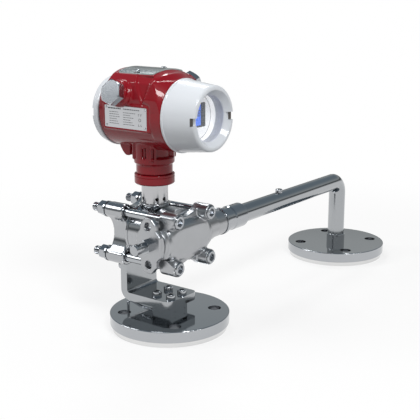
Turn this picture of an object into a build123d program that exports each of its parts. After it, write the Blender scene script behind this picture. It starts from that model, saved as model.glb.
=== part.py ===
from build123d import *
import os
from math import cos, radians, sin, sqrt, tan

# Flange density meter: a differential pressure cell on a rigid bracket between
# two process flanges, with a rotating electronics head on top.
# Millimetres. +Z is up, and the origin is the centre of the base flange's lower face.
# +X runs from the clamped cell towards the display, +Y along the tube to the far flange.

# Process flanges
FLANGE_OD = 165.0
FLANGE_RIM_T = 16.0
FACE_TIER_D = 159.0
FACE_TIER_T = 6.5
BOLT_CIRCLE = 125.0
BOLT_HOLE_D = 18.0
BOLT_COUNT = 4
FLANGE_EDGE = 2.0
SEAL_D = 58.0
SEAL_RECESS = 1.6
SEAL_SHEET = 0.4
OIL_GAP = 0.6
FLANGE_SPACING = 442.9

# Seal block under the bracket
BLOCK_SIDE = 36.0
BLOCK_H = 13.0
BLOCK_CORNER = 3.0
FILL_SCREW_D = 3.0
FILL_SCREW_L = 4.0
FILL_SCREW_Y = 10.6
FILL_SCREW_Z = 4.4

# Bent bracket plate
BRACKET_T = 11.0
BRACKET_W = 62.6
BRACKET_FRONT_X = 24.0
BRACKET_BEND_R = 4.0
BRACKET_NEAR_CORNER = 12.0
BRACKET_FAR_CORNER = 8.0
BRACKET_BOSS_GAP = 1.1
BRACKET_SCREW_PITCH = 24.0
BRACKET_SCREW_BITE = 6.3

# Fasteners
M8_D = 8.0
M8_HEAD_D = 13.0
M8_HEAD_H = 8.0
M8_SOCKET_AF = 6.0
M12_D = 12.0
M12_HEAD_D = 18.0
M12_HEAD_H = 12.0
M12_SOCKET_AF = 10.0
M12_NUT_AF = 18.0
M12_NUT_H = 10.8
M12_WASHER_D = 22.0
M12_WASHER_T = 2.5
M12_LENGTH = 140.0
HEAD_CHAMFER = 1.0
BOLT_HOLE_CLEAR = 0.4
THREAD_CLEAR = 0.05

# Pressure cell and its clamp flanges
AXIS_Z = 130.5
NECK_X = -23.7
CELL_T = 34.0
CELL_D = 76.0
CLAMP_D = 78.0
BOLT_Y = 33.9
BOLT_Z = 31.4
BOSS_D = 22.0
BOSS_CHAMFER = 2.5
LEFT_DISC_T = 4.3
LEFT_WEB_T = 26.0
LEFT_BOSS_T = 6.5
RIGHT_DISC_T = 26.7
RIGHT_WEB_T = 10.0
RIGHT_BOSS_T = 16.4
WAIST_Y = 32.5
WAIST_Z = 31.0
SIDE_SCALLOP_R = 35.0
TOP_SCALLOP_R = 45.1
COUNTERBORE_CLEAR = 0.3
CHAMBER_D = 48.0
CHAMBER_DEPTH = 1.2
CELL_MEMBRANE_D = 46.0
CELL_MEMBRANE_T = 0.5
GASKET_IN_D = 52.0
GASKET_W = 5.0
GASKET_T = 2.0

# Lug that carries the bracket, on the back of the left clamp flange
LUG_W = 36.0
LUG_T = 10.0
LUG_SCREW_Y = 11.0
LUG_SCREW_DROP = 10.0
LUG_FOOT = 9.0
LUG_SCREW_BITE = 9.0

# Cast port body on the right clamp flange
PORT_X = 12.3
PORT_D = 54.0
PORT_NEAR_Y = -50.0
PORT_FAR_Y = 46.0
PORT_KEEP = 0.7
OCTAGON_T = 8.0
OCTAGON_END_HALF_W = 5.0
OCTAGON_END_Z = 11.7
OCTAGON_EAR_HALF_W = 13.0
OCTAGON_EAR_Z = 2.7
OCTAGON_EAR_ROOT_Z = 4.8
OCTAGON_WAIST_HALF_W = 20.5
OCTAGON_WAIST_HALF_H = 13.5
OCTAGON_EDGE = 0.8
OCTAGON_HOLE_PITCH = 51.6
OCTAGON_HOLE_D = 11.0
OCTAGON_HOLE_DEPTH = 16.0
OIL_BORE_D = 6.0
CONE_END_D = 37.0
CONE_END_Y = 95.0

# Vent valve in the middle of the octagon
VENT_HEX_AF = 17.0
VENT_HEX_H = 8.0
VENT_BARREL_D = 13.0
VENT_BARREL_L = 8.5
VENT_STEM_D = 8.0
VENT_KNOB_D = 14.0
VENT_KNOB_L = 10.5
VENT_CROSS_D = 4.5
VENT_RUN = 0.08
VENT_SHANK_L = 12.0

# Sleeve, tube and far leg
SLEEVE_D = 36.0
SLEEVE_END_Y = 147.0
SLEEVE_RING_D = 39.0
SLEEVE_RING_L = 6.0
SLEEVE_STEP_Y = 120.0
SLEEVE_SOCKET = 30.0
TUBE_OD = 28.0
TUBE_WALL = 3.0
TUBE_BEND_R = 21.0
HUB_D = 31.0
HUB_H = 14.0
FILL_PLUG_Y = 255.0
FILL_PLUG_D = 11.0
FILL_PLUG_H = 4.6

# Oil capillary from the seal block up to the left clamp flange
CAPILLARY_D = 4.0
CAPILLARY_X = -90.0
CAPILLARY_Y = 14.0
CAPILLARY_Z = 29.0
CAPILLARY_PORT_Z = 118.0
CAPILLARY_BEND_R = 8.0
CAPILLARY_TURN_X = -50.0
CAPILLARY_SEAT = 5.0
GLAND_AF = 12.0
GLAND_H = 9.0

# Neck under the head
COLLAR_D = 42.0
COLLAR_TOP = 173.5
COLLAR_SEAT = 3.0
NECK_D = 36.0
NECK_BORE_D = 22.0
NECK_SHOULDER_Z = 200.0
SPIGOT_D = 30.0
SPIGOT_REACH = 12.0
SPIGOT_RUN = 0.08
NECK_HOLE_D = 5.0
NECK_HOLE_Z = 180.0
LOCK_RING_D = 54.4
LOCK_RING_H = 13.5
WAIST_D = 49.2
WAIST_L = 14.2
HEAD_RING_D = 54.6
BODY_GAP = 0.3
LOCK_SCREW_D = 5.0
LOCK_SCREW_RISE = 7.2
LOCK_GROOVE_DEPTH = 2.0

# Head
HEAD_COLLAR_L = 19.7
HEAD_D = 94.0
HEAD_BACK_X = -79.0
HEAD_FRONT_X = 27.4
PARTITION_BACK_X = -28.0
PARTITION_FRONT_X = -18.0
CHAMBER_R = 40.5
THREAD_D = 84.0
THREAD_LEN = 12.0
THREAD_RUN = 0.3
WIRE_HOLE_D = 12.0

# Head shoulders: a saddle with an arched top, drawn in to the round ends by cones
SADDLE_HALF_W = 33.0
SADDLE_SHOULDER_Z = 52.0
SADDLE_FACET_Y = 41.0
SADDLE_FACET_Z = 43.0
SADDLE_FLANK_Y = 46.0
SADDLE_FLANK_Z = 22.0
SADDLE_LOW_Z = 8.0
SADDLE_CROWN_Z = 57.5
SHOULDER_BACK_X = -61.0
SHOULDER_FRONT_X = 8.0
CONE_TOP_R = 64.0

# Raised band beside the display cap; its edge leans above the name panel
BAND_RISE = 1.6
BAND_LOW_X = 10.0
BAND_STEP_X = -1.0
BAND_STEP_Z = 20.0
BAND_TOP_X = 12.0

# Name panel on the near side
PANEL_X0 = -67.7
PANEL_X1 = 4.8
PANEL_Z0 = -16.7
PANEL_Z1 = 12.5
PANEL_BORDER = 3.0
PANEL_PROUD = 0.2
PANEL_STEP = 1.0
PLATE_T = 0.8
RIVET_D = 3.0
RIVET_INSET = 3.0

# Arched cover plate on top
COVER_X0 = -58.0
COVER_X1 = 3.0
COVER_HALF_W = 31.0
COVER_T = 1.6
COVER_SEAT = 0.05
COVER_CORNER_R = 4.0
COVER_SCREW_Y = 27.0
COVER_SCREW_D = 8.0
COVER_SCREW_H = 2.6

# Adjustment buttons under the cover plate
BUTTON_D = 6.0
BUTTON_L = 8.0
BUTTON_SPREAD = 24.0
BUTTON_TRAVEL = 1.5
BUTTON_RUN = 0.1

# Conduit entries, tilted up from the horizontal
CONDUIT_TILT = 18.0
CONDUIT_D = 20.0
CONDUIT_RING_D = 40.0
CONDUIT_STEP_D = 35.0
CONDUIT_STEP_L = 6.0
CONDUIT_NEAR = (-42.0, -63.0, 32.0)
CONDUIT_FAR = (-4.0, 59.0, 36.0)
CONDUIT_REACH = 34.0
PLUG_AF = 30.0
PLUG_H = 9.0
PLUG_SHANK = 11.0

# Ground lug and ribs beside the collar
GROUND_X = -58.0
GROUND_Y = -20.0
GROUND_W = 18.0
GROUND_T = 14.0
GROUND_LUG_L = 11.0
GROUND_SCREW_D = 5.0
GROUND_HEAD_D = 9.5
GROUND_HEAD_H = 4.0
GROUND_EDGE = 0.8
RIB_T = 4.0
RIB_REACH = 30.0
RIB_ROOT = 6.0

# Screwed end caps
CAP_LIP_D = 96.6
CAP_LIP_T = 2.5
CAP_BARREL_D = 94.4
CAP_BORE_D = 77.2
CAP_SKIRT_L = 11.5
FRONT_CAP_FACE_X = 77.05
FRONT_CAP_FACE_D = 84.0
FRONT_CAP_EDGE_R = 4.0
WINDOW_MOUTH_D = 73.0
WINDOW_D = 60.0
WINDOW_LIP_X = 69.5
WINDOW_LIP_T = 1.5
NOTCH_H = 10.4
NOTCH_DEPTH = 6.0
REAR_CAP_FACE_X = -93.0
REAR_CAP_FACE_D = 91.0
REAR_CAP_WALL = 6.0
REAR_NOTCH_DEPTH = 4.0
SEAL_RING_CORD = 2.8
SEAL_GROOVE_CLEAR = 0.3

# Window, its ring and the display behind it
RETAINER_OD = 68.0
RETAINER_L = 12.0
GLASS_T = 8.0
GLASS_INSET = 2.0
GLASS_FIT = 0.05
MODULE_D = 72.0
MODULE_FRONT_X = 14.0
POST_D = 5.0
POST_CIRCLE = 52.0
BOARD_D = 66.0
BOARD_X = 40.4
BOARD_T = 1.6
SCREEN_T = 4.0
SCREEN_W = 30.0
SCREEN_H = 30.0
FRAME_W = 36.0
FRAME_H = 31.2
FRAME_T = 2.5
FRAME_OPEN_W = 23.4
FRAME_OPEN_H = 27.8
SCREEN_Z = 1.9
BEZEL_D = 75.0
BEZEL_FACE_X = 48.0
BEZEL_T = 3.0
BEZEL_RIM_T = 2.0
BEZEL_RIM_H = 6.5
BEZEL_LINE_D = 60.0
BEZEL_LINE_W = 0.7
BEZEL_OPEN_CLEAR = 0.2

# Terminal side
TERMINAL_W = 54.0
TERMINAL_H = 24.0
TERMINAL_T = 12.0
TERMINAL_COUNT = 5
TERMINAL_PITCH = 10.0
TERMINAL_SCREW_D = 6.0
TERMINAL_SLOT_DEPTH = 4.0

# Sizes that follow from the ones above
WAIST_TOP = NECK_SHOULDER_Z + LOCK_RING_H + BODY_GAP + WAIST_L
LOCK_SCREW_Z = WAIST_TOP - WAIST_L + LOCK_SCREW_RISE
SPIGOT_TOP = WAIST_TOP + SPIGOT_REACH
HEAD_Z = WAIST_TOP + HEAD_COLLAR_L + HEAD_D / 2
PANEL_FACE_Y = -HEAD_D / 2 - PANEL_PROUD
GROUND_DROP = HEAD_D / 2 + GROUND_LUG_L
GROUND_SEAT = GROUND_HEAD_D / 2 + GROUND_EDGE
FLANGE_H = FLANGE_RIM_T + FACE_TIER_T
BLOCK_TOP = FLANGE_H + BLOCK_H
BRACKET_TOP = BLOCK_TOP + BRACKET_T
CELL_X0 = NECK_X - CELL_T / 2
CELL_X1 = NECK_X + CELL_T / 2
LEFT_DISC_X = CELL_X0 - LEFT_DISC_T
LEFT_WEB_X = LEFT_DISC_X - LEFT_WEB_T
LEFT_BOSS_X = LEFT_WEB_X - LEFT_BOSS_T
RIGHT_DISC_X = CELL_X1 + RIGHT_DISC_T
RIGHT_WEB_X = RIGHT_DISC_X + RIGHT_WEB_T
RIGHT_BOSS_X = RIGHT_WEB_X + RIGHT_BOSS_T
BOLT_HEAD_X = RIGHT_BOSS_X - M12_HEAD_H + HEAD_CHAMFER
BRACKET_BACK_X = LEFT_WEB_X + LUG_T
UPRIGHT_TOP = AXIS_Z - BOLT_Z - BOSS_D / 2 - BRACKET_BOSS_GAP
LUG_SCREW_Z = UPRIGHT_TOP - LUG_SCREW_DROP
OCTAGON_Y = PORT_NEAR_Y - OCTAGON_T
COVER_MID_X = (COVER_X0 + COVER_X1) / 2
SADDLE_RISE = SADDLE_CROWN_Z - SADDLE_SHOULDER_Z
SADDLE_ARCH_R = (SADDLE_HALF_W ** 2 + SADDLE_RISE ** 2) / (2 * SADDLE_RISE)
THREAD_R = THREAD_D / 2
FRONT_LIP_X = HEAD_FRONT_X + BODY_GAP
REAR_LIP_X = HEAD_BACK_X - BODY_GAP
SEAL_GROOVE = SEAL_RING_CORD + 2 * SEAL_GROOVE_CLEAR
RETAINER_X0 = WINDOW_LIP_X - WINDOW_LIP_T - RETAINER_L


def outline(points):
    """A closed face from (u, v) corners; a third number rounds that corner."""
    corners = [(point[0], point[1]) for point in points]
    radii = [point[2] if len(point) > 2 else 0 for point in points]
    return make_face(FilletPolyline(*corners, radius=radii, close=True))


def turned_x(points, y=0.0, z=0.0):
    """A turned piece about a line along X, from (x, radius) corners."""
    return Pos(0, y, z) * revolve(outline(points), Axis.X)


def turned_y(points, x=0.0, z=0.0):
    """A turned piece about a line along Y, from (y, radius) corners."""
    swapped = [(point[1], point[0], *point[2:]) for point in points]
    return Pos(x, 0, z) * revolve(outline(swapped), Axis.Y)


def turned_z(points, x=0.0, y=0.0):
    """A turned piece about a line along Z, from (z, radius) corners."""
    swapped = [(point[1], point[0], *point[2:]) for point in points]
    return Pos(x, y, 0) * revolve(Plane.XZ * outline(swapped), Axis.Z)


def rod_x(x0, x1, diameter, y=0.0, z=0.0):
    return Pos((x0 + x1) / 2, y, z) * Rot(0, 90, 0) * Cylinder(diameter / 2, abs(x1 - x0))


def rod_y(y0, y1, diameter, x=0.0, z=0.0):
    return Pos(x, (y0 + y1) / 2, z) * Rot(90, 0, 0) * Cylinder(diameter / 2, abs(y1 - y0))


def rod_z(z0, z1, diameter, x=0.0, y=0.0):
    return Pos(x, y, (z0 + z1) / 2) * Cylinder(diameter / 2, abs(z1 - z0))


def block(x0, x1, y0, y1, z0, z1):
    middle = Pos((x0 + x1) / 2, (y0 + y1) / 2, (z0 + z1) / 2)
    return middle * Box(abs(x1 - x0), abs(y1 - y0), abs(z1 - z0))


def along(shape, origin, direction):
    """Turns a shape drawn about +Z so that +Z runs in the direction given."""
    return Plane(origin=origin, z_dir=direction).location * shape


def corner_places(half_x, half_y):
    return [(side_x * half_x, side_y * half_y) for side_x in (-1, 1) for side_y in (-1, 1)]


def cap_screw(diameter, head_d, head_h, length, socket_af):
    """Socket head cap screw: head on top of z = 0, shank below it."""
    head = Cylinder(head_d / 2, head_h, align=(Align.CENTER, Align.CENTER, Align.MIN))
    head = chamfer(head.edges().group_by(Axis.Z)[-1], HEAD_CHAMFER)
    shank = Cylinder(diameter / 2, length, align=(Align.CENTER, Align.CENTER, Align.MAX))
    shank = chamfer(shank.edges().group_by(Axis.Z)[0], HEAD_CHAMFER)
    socket_depth = head_h / 2
    socket = Pos(0, 0, head_h - socket_depth) * extrude(
        RegularPolygon(socket_af / 2, 6, major_radius=False), socket_depth)
    return head + shank - socket


def hex_prism(across_flats, height, turn=0.0):
    """Hexagon bar from z = 0 upward, its top corners turned off at 30 degrees."""
    corner_r = across_flats / sqrt(3)
    bar = extrude(Rot(0, 0, turn) * RegularPolygon(corner_r, 6), height)
    crown = corner_r - across_flats / 2
    drop = crown * tan(radians(30))
    round_off = revolve(Plane.XZ * outline([
        (0, 0), (corner_r, 0), (corner_r, height - drop), (across_flats / 2, height), (0, height)]))
    return bar & round_off


def process_flange():
    """Round flange with a full raised face below, drawn about the origin."""
    rim_r = FLANGE_OD / 2
    tier_r = FACE_TIER_D / 2
    body = turned_z([
        (0, 0), (0, tier_r), (FACE_TIER_T, tier_r), (FACE_TIER_T, rim_r, FLANGE_EDGE),
        (FLANGE_H, rim_r, FLANGE_EDGE / 2), (FLANGE_H, 0)])
    angle = 180 / BOLT_COUNT
    for place in PolarLocations(BOLT_CIRCLE / 2, BOLT_COUNT, start_angle=angle):
        hole = rod_z(-1, FLANGE_H + 1, BOLT_HOLE_D)
        body -= place * hole
    body -= rod_z(-1, SEAL_RECESS, SEAL_D)
    body -= rod_z(0, SEAL_RECESS + OIL_GAP, SEAL_D - 8)
    return body


def corrugated_sheet(diameter, recess, waves=3):
    """Thin diaphragm with ring waves, seated at z = recess and facing down."""
    flat_r = diameter / 2 - 4
    step = flat_r / waves
    lower = []
    for index in range(waves):
        lower.append((recess - SEAL_SHEET, (index + 0.35) * step))
        lower.append((recess - 2 * SEAL_SHEET, (index + 0.65) * step))
    lower.append((recess - SEAL_SHEET, flat_r))
    upper = [(z + SEAL_SHEET, r) for z, r in reversed(lower)]
    points = [(recess - SEAL_SHEET, 0)] + lower
    points += [(recess - SEAL_SHEET, diameter / 2), (recess, diameter / 2)]
    points += upper + [(recess, 0)]
    return turned_z(points)


def base_flange():
    return process_flange() - rod_z(0, FLANGE_H + 1, CAPILLARY_D)


def base_diaphragm():
    return corrugated_sheet(SEAL_D, SEAL_RECESS)


def remote_flange():
    oil_way = rod_z(0, FLANGE_H + 1, TUBE_OD - 2 * TUBE_WALL)
    hub = turned_z([
        (FLANGE_H, 0), (FLANGE_H, HUB_D / 2), (FLANGE_H + HUB_H, HUB_D / 2, 1.0),
        (FLANGE_H + HUB_H, 0)])
    seat = rod_z(FLANGE_H, FLANGE_H + HUB_H + 1, TUBE_OD + 2 * THREAD_CLEAR)
    return Pos(PORT_X, FLANGE_SPACING, 0) * (process_flange() + hub - seat - oil_way)


def remote_diaphragm():
    return Pos(PORT_X, FLANGE_SPACING, 0) * corrugated_sheet(SEAL_D, SEAL_RECESS)


def seal_block():
    half = BLOCK_SIDE / 2
    body = block(-half, half, -half, half, FLANGE_H, BLOCK_TOP)
    body = fillet(body.edges().filter_by(Axis.Z), BLOCK_CORNER)
    hole_floor = BLOCK_TOP - BRACKET_SCREW_BITE - HEAD_CHAMFER / 2
    for x, y in corner_places(BRACKET_SCREW_PITCH / 2, BRACKET_SCREW_PITCH / 2):
        body -= rod_z(hole_floor, BLOCK_TOP + 1, M8_D + 2 * THREAD_CLEAR, x, y)
    body -= rod_x(-half - 1, 0, CAPILLARY_D + 2 * THREAD_CLEAR, 0, CAPILLARY_Z)
    body -= rod_z(FLANGE_H - 1, CAPILLARY_Z, CAPILLARY_D)
    for side in (-1, 1):
        body -= rod_x(half - FILL_SCREW_L, half + 1, FILL_SCREW_D + 2 * THREAD_CLEAR,
                      side * FILL_SCREW_Y, FLANGE_H + FILL_SCREW_Z)
    return body


def block_fill_screws():
    screws = []
    face = BLOCK_SIDE / 2
    for side in (-1, 1):
        screw = Cylinder(FILL_SCREW_D / 2, FILL_SCREW_L,
                         align=(Align.CENTER, Align.CENTER, Align.MAX))
        socket = extrude(RegularPolygon(FILL_SCREW_D / 4, 6), -FILL_SCREW_D / 2)
        place = (face, side * FILL_SCREW_Y, FLANGE_H + FILL_SCREW_Z)
        screws.append(along(screw - socket, place, (1, 0, 0)))
    return Compound(children=screws)


def bracket():
    """One thick plate bent up behind the cell, with a rounded free end."""
    outer_r = BRACKET_BEND_R + BRACKET_T
    inner_x = BRACKET_BACK_X + BRACKET_T
    profile = outline([
        (BRACKET_FRONT_X, BLOCK_TOP), (BRACKET_FRONT_X, BRACKET_TOP),
        (inner_x, BRACKET_TOP, BRACKET_BEND_R), (inner_x, UPRIGHT_TOP),
        (BRACKET_BACK_X, UPRIGHT_TOP), (BRACKET_BACK_X, BLOCK_TOP, outer_r)])
    plate = extrude(Plane.XZ * profile, BRACKET_W / 2, both=True)
    free_end = plate.edges().filter_by(Axis.Z).group_by(Axis.X)[-1].sort_by(Axis.Y)
    plate = fillet(free_end[0], BRACKET_NEAR_CORNER)
    free_end = plate.edges().filter_by(Axis.Z).group_by(Axis.X)[-1].sort_by(Axis.Y)
    plate = fillet(free_end[-1], BRACKET_FAR_CORNER)
    for x, y in corner_places(BRACKET_SCREW_PITCH / 2, BRACKET_SCREW_PITCH / 2):
        plate -= rod_z(BLOCK_TOP - 1, BRACKET_TOP + 1, M8_D + 2 * BOLT_HOLE_CLEAR, x, y)
    for side in (-1, 1):
        plate -= rod_x(BRACKET_BACK_X - 1, BRACKET_BACK_X + LUG_SCREW_BITE + 0.5,
                       M8_D + 2 * THREAD_CLEAR, side * LUG_SCREW_Y, LUG_SCREW_Z)
    return plate


def bracket_screws():
    screws = []
    for x, y in corner_places(BRACKET_SCREW_PITCH / 2, BRACKET_SCREW_PITCH / 2):
        screw = cap_screw(M8_D, M8_HEAD_D, M8_HEAD_H, BRACKET_T + BRACKET_SCREW_BITE, M8_SOCKET_AF)
        screws.append(Pos(x, y, BRACKET_TOP) * screw)
    return Compound(children=screws)


def bracket_rear_screws():
    screws = []
    for side in (-1, 1):
        screw = cap_screw(M8_D, M8_HEAD_D, M8_HEAD_H, LUG_T + LUG_SCREW_BITE, M8_SOCKET_AF)
        screws.append(along(screw, (LEFT_WEB_X, side * LUG_SCREW_Y, LUG_SCREW_Z), (-1, 0, 0)))
    return Compound(children=screws)


def four_lobe(x0, x1):
    """Web between the four bolt bosses, hollowed by a scallop on each side."""
    half_y = BOLT_Y + BOSS_D / 2
    half_z = BOLT_Z + BOSS_D / 2
    web = block(x0, x1, -half_y, half_y, AXIS_Z - half_z, AXIS_Z + half_z)
    web = fillet(web.edges().filter_by(Axis.X), BOSS_D / 2 - 0.01)
    for side in (-1, 1):
        web -= rod_x(x0 - 1, x1 + 1, 2 * SIDE_SCALLOP_R, side * (WAIST_Y + SIDE_SCALLOP_R), AXIS_Z)
        web -= rod_x(x0 - 1, x1 + 1, 2 * TOP_SCALLOP_R, 0, AXIS_Z + side * (WAIST_Z + TOP_SCALLOP_R))
    return web


def bolt_places():
    return [(y, AXIS_Z + z) for y, z in corner_places(BOLT_Y, BOLT_Z)]


def boss(x_root, x_end, y, z):
    """Bolt boss along X with its free end chamfered."""
    rod_r = BOSS_D / 2
    step = BOSS_CHAMFER if x_end > x_root else -BOSS_CHAMFER
    return turned_x([
        (x_root, 0), (x_root, rod_r), (x_end - step, rod_r), (x_end, rod_r - BOSS_CHAMFER / 2),
        (x_end, 0)], y, z)


def left_flange():
    """Clamp flange behind the cell, with the lug that the bracket is bolted to."""
    body = rod_x(LEFT_DISC_X, CELL_X0, CLAMP_D, 0, AXIS_Z) + four_lobe(LEFT_WEB_X, LEFT_DISC_X)
    lug = block(LEFT_WEB_X, BRACKET_BACK_X, -LUG_W / 2, LUG_W / 2, LUG_SCREW_Z - LUG_FOOT, AXIS_Z)
    lug = fillet(lug.edges().filter_by(Axis.X).group_by(Axis.Z)[0], LUG_FOOT - 3)
    body += lug
    for y, z in bolt_places():
        body += boss(LEFT_DISC_X, LEFT_BOSS_X, y, z)
    for y, z in bolt_places():
        body -= rod_x(LEFT_BOSS_X - 1, CELL_X0 + 1, M12_D + 2 * BOLT_HOLE_CLEAR, y, z)
    for side in (-1, 1):
        body -= rod_x(LEFT_WEB_X - 1, BRACKET_BACK_X + 1, M8_D + 2 * BOLT_HOLE_CLEAR,
                      side * LUG_SCREW_Y, LUG_SCREW_Z)
    body -= rod_x(CELL_X0 - CHAMBER_DEPTH, CELL_X0 + 1, CHAMBER_D, 0, AXIS_Z)
    body -= rod_x(LEFT_WEB_X - 1, CELL_X0, CAPILLARY_D, CAPILLARY_Y, CAPILLARY_PORT_Z)
    return body


def octagon_plate():
    """Eight-sided mounting pad on the near end of the port body."""
    hole_z = OCTAGON_HOLE_PITCH / 2
    half = [(OCTAGON_END_HALF_W, hole_z + OCTAGON_END_Z), (OCTAGON_EAR_HALF_W, hole_z + OCTAGON_EAR_Z),
            (OCTAGON_EAR_HALF_W, hole_z - OCTAGON_EAR_ROOT_Z),
            (OCTAGON_WAIST_HALF_W, OCTAGON_WAIST_HALF_H)]
    right_up = half
    right_down = [(x, -z) for x, z in reversed(half)]
    left_down = [(-x, -z) for x, z in half]
    left_up = [(-x, z) for x, z in reversed(half)]
    face = outline(right_up + right_down + left_down + left_up)
    pad = extrude(Plane.XZ * face, OCTAGON_T)
    pad = chamfer(pad.edges().group_by(Axis.Y)[0], OCTAGON_EDGE)
    return Pos(PORT_X, PORT_NEAR_Y, AXIS_Z) * pad


def right_flange():
    """Clamp flange cast in one with the port body, its pad and the tube cone."""
    port_r = PORT_D / 2
    drum = turned_y([
        (PORT_NEAR_Y, 0), (PORT_NEAR_Y, port_r, 5.0), (PORT_FAR_Y, port_r, 3.0),
        (CONE_END_Y, CONE_END_D / 2, 1.5), (CONE_END_Y, 0)], PORT_X, AXIS_Z)
    drum &= block(CELL_X1 + PORT_KEEP, PORT_X + PORT_D, PORT_NEAR_Y - 1, CONE_END_Y + 1,
                  AXIS_Z - PORT_D, AXIS_Z + PORT_D)
    body = rod_x(CELL_X1, RIGHT_DISC_X, CLAMP_D, 0, AXIS_Z) + drum
    body += four_lobe(RIGHT_DISC_X, RIGHT_WEB_X)
    for y, z in bolt_places():
        body += boss(RIGHT_DISC_X, RIGHT_BOSS_X, y, z)
    body += octagon_plate()
    for y, z in bolt_places():
        body -= rod_x(CELL_X1 - 1, RIGHT_BOSS_X + 1, M12_D + 2 * BOLT_HOLE_CLEAR, y, z)
        body -= rod_x(BOLT_HEAD_X, RIGHT_BOSS_X + 1, M12_HEAD_D + 2 * COUNTERBORE_CLEAR, y, z)
    for side in (-1, 1):
        body -= rod_y(OCTAGON_Y - 1, OCTAGON_Y + OCTAGON_HOLE_DEPTH, OCTAGON_HOLE_D,
                      PORT_X, AXIS_Z + side * OCTAGON_HOLE_PITCH / 2)
    body -= rod_x(CELL_X1 - 1, CELL_X1 + CHAMBER_DEPTH, CHAMBER_D, 0, AXIS_Z)
    body -= rod_x(CELL_X1, PORT_X, OIL_BORE_D, 0, AXIS_Z)
    body -= rod_y(OCTAGON_Y - 1, CONE_END_Y + 1, OIL_BORE_D, PORT_X, AXIS_Z)
    body -= rod_y(OCTAGON_Y - 1, OCTAGON_Y + VENT_SHANK_L, VENT_STEM_D + 2 * THREAD_CLEAR + 4,
                  PORT_X, AXIS_Z)
    return body


def vent_body():
    """Bleed fitting: a hexagon with a threaded root and a round barrel."""
    shank_r = VENT_STEM_D / 2 + 2
    hexagon = hex_prism(VENT_HEX_AF, VENT_HEX_H)
    barrel = Cylinder(VENT_BARREL_D / 2, VENT_HEX_H + VENT_BARREL_L,
                      align=(Align.CENTER, Align.CENTER, Align.MIN))
    shank = Cylinder(shank_r, VENT_SHANK_L - 1, align=(Align.CENTER, Align.CENTER, Align.MAX))
    bore = rod_z(-VENT_SHANK_L + 4, VENT_HEX_H + VENT_BARREL_L + 1, VENT_STEM_D + 2 * VENT_RUN)
    way = rod_z(-VENT_SHANK_L, 0, OIL_BORE_D / 2)
    fitting = hexagon + barrel + shank - bore - way
    return along(fitting, (PORT_X, OCTAGON_Y, AXIS_Z), (0, -1, 0))


def vent_stem():
    """Bleed screw with a cross-drilled round knob."""
    seat = -VENT_SHANK_L + 4 + BODY_GAP
    knob_z = VENT_HEX_H + VENT_BARREL_L + BODY_GAP
    stem = rod_z(seat, knob_z + 1, VENT_STEM_D)
    knob = rod_z(knob_z, knob_z + VENT_KNOB_L, VENT_KNOB_D)
    knob = chamfer(knob.edges().filter_by(GeomType.CIRCLE), 0.8)
    cross = rod_x(-VENT_KNOB_D, VENT_KNOB_D, VENT_CROSS_D, 0, knob_z + VENT_KNOB_L / 2)
    screw = stem + knob - cross
    return along(screw, (PORT_X, OCTAGON_Y, AXIS_Z), (0, -1, 0))


def sensor_body():
    """Pressure cell: a drum between the clamp flanges, with a collar for the neck."""
    cell_r = CELL_D / 2
    body = rod_x(CELL_X0, CELL_X1, CELL_D, 0, AXIS_Z)
    clamp_top = AXIS_Z + CLAMP_D / 2 + BODY_GAP
    body += rod_z(AXIS_Z, clamp_top, CELL_T, NECK_X, 0)
    body += turned_z([
        (clamp_top, 0), (clamp_top, COLLAR_D / 2), (COLLAR_TOP, COLLAR_D / 2, 1.0),
        (COLLAR_TOP, 0)], NECK_X, 0)
    body -= rod_z(COLLAR_TOP - COLLAR_SEAT, COLLAR_TOP + 1, NECK_D + 2 * THREAD_CLEAR, NECK_X, 0)
    groove_out = GASKET_IN_D + 2 * GASKET_W
    for face, side in ((CELL_X0, 1), (CELL_X1, -1)):
        ring = rod_x(face - side, face + side * GASKET_T, groove_out + 0.2, 0, AXIS_Z)
        ring -= rod_x(face - 2 * side, face + 2 * side * GASKET_T, GASKET_IN_D - 0.2, 0, AXIS_Z)
        body -= ring
        body -= rod_x(face - side, face + side * CELL_MEMBRANE_T * 3, CELL_MEMBRANE_D, 0, AXIS_Z)
    body -= rod_z(AXIS_Z + cell_r / 2, COLLAR_TOP, NECK_BORE_D / 2, NECK_X, 0)
    return body


def cell_membrane(face, side):
    """Isolating membrane with ring waves in a recess of the cell's face."""
    sheet = corrugated_sheet(CELL_MEMBRANE_D, 0)
    place = (face + side * (CELL_MEMBRANE_T * 3 - 0.01), 0, AXIS_Z)
    return along(sheet, place, (side, 0, 0))


def gasket(face, side):
    ring = rod_x(face, face + side * GASKET_T, GASKET_IN_D + 2 * GASKET_W, 0, AXIS_Z)
    return ring - rod_x(face - side, face + 2 * side * GASKET_T, GASKET_IN_D, 0, AXIS_Z)


def flange_bolts():
    screws = []
    for y, z in bolt_places():
        screw = cap_screw(M12_D, M12_HEAD_D, M12_HEAD_H, M12_LENGTH, M12_SOCKET_AF)
        screws.append(along(screw, (BOLT_HEAD_X, y, z), (1, 0, 0)))
    return Compound(children=screws)


def flange_washers():
    rings = []
    for y, z in bolt_places():
        ring = rod_x(LEFT_BOSS_X - M12_WASHER_T, LEFT_BOSS_X, M12_WASHER_D, y, z)
        rings.append(ring - rod_x(LEFT_BOSS_X - 10, LEFT_BOSS_X + 1, M12_D + 2 * BOLT_HOLE_CLEAR, y, z))
    return Compound(children=rings)


def flange_nuts():
    nuts = []
    for y, z in bolt_places():
        nut = hex_prism(M12_NUT_AF, M12_NUT_H) - rod_z(-1, M12_NUT_H + 1, M12_D + 2 * THREAD_CLEAR)
        nuts.append(along(nut, (LEFT_BOSS_X - M12_WASHER_T, y, z), (-1, 0, 0)))
    return Compound(children=nuts)


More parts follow.
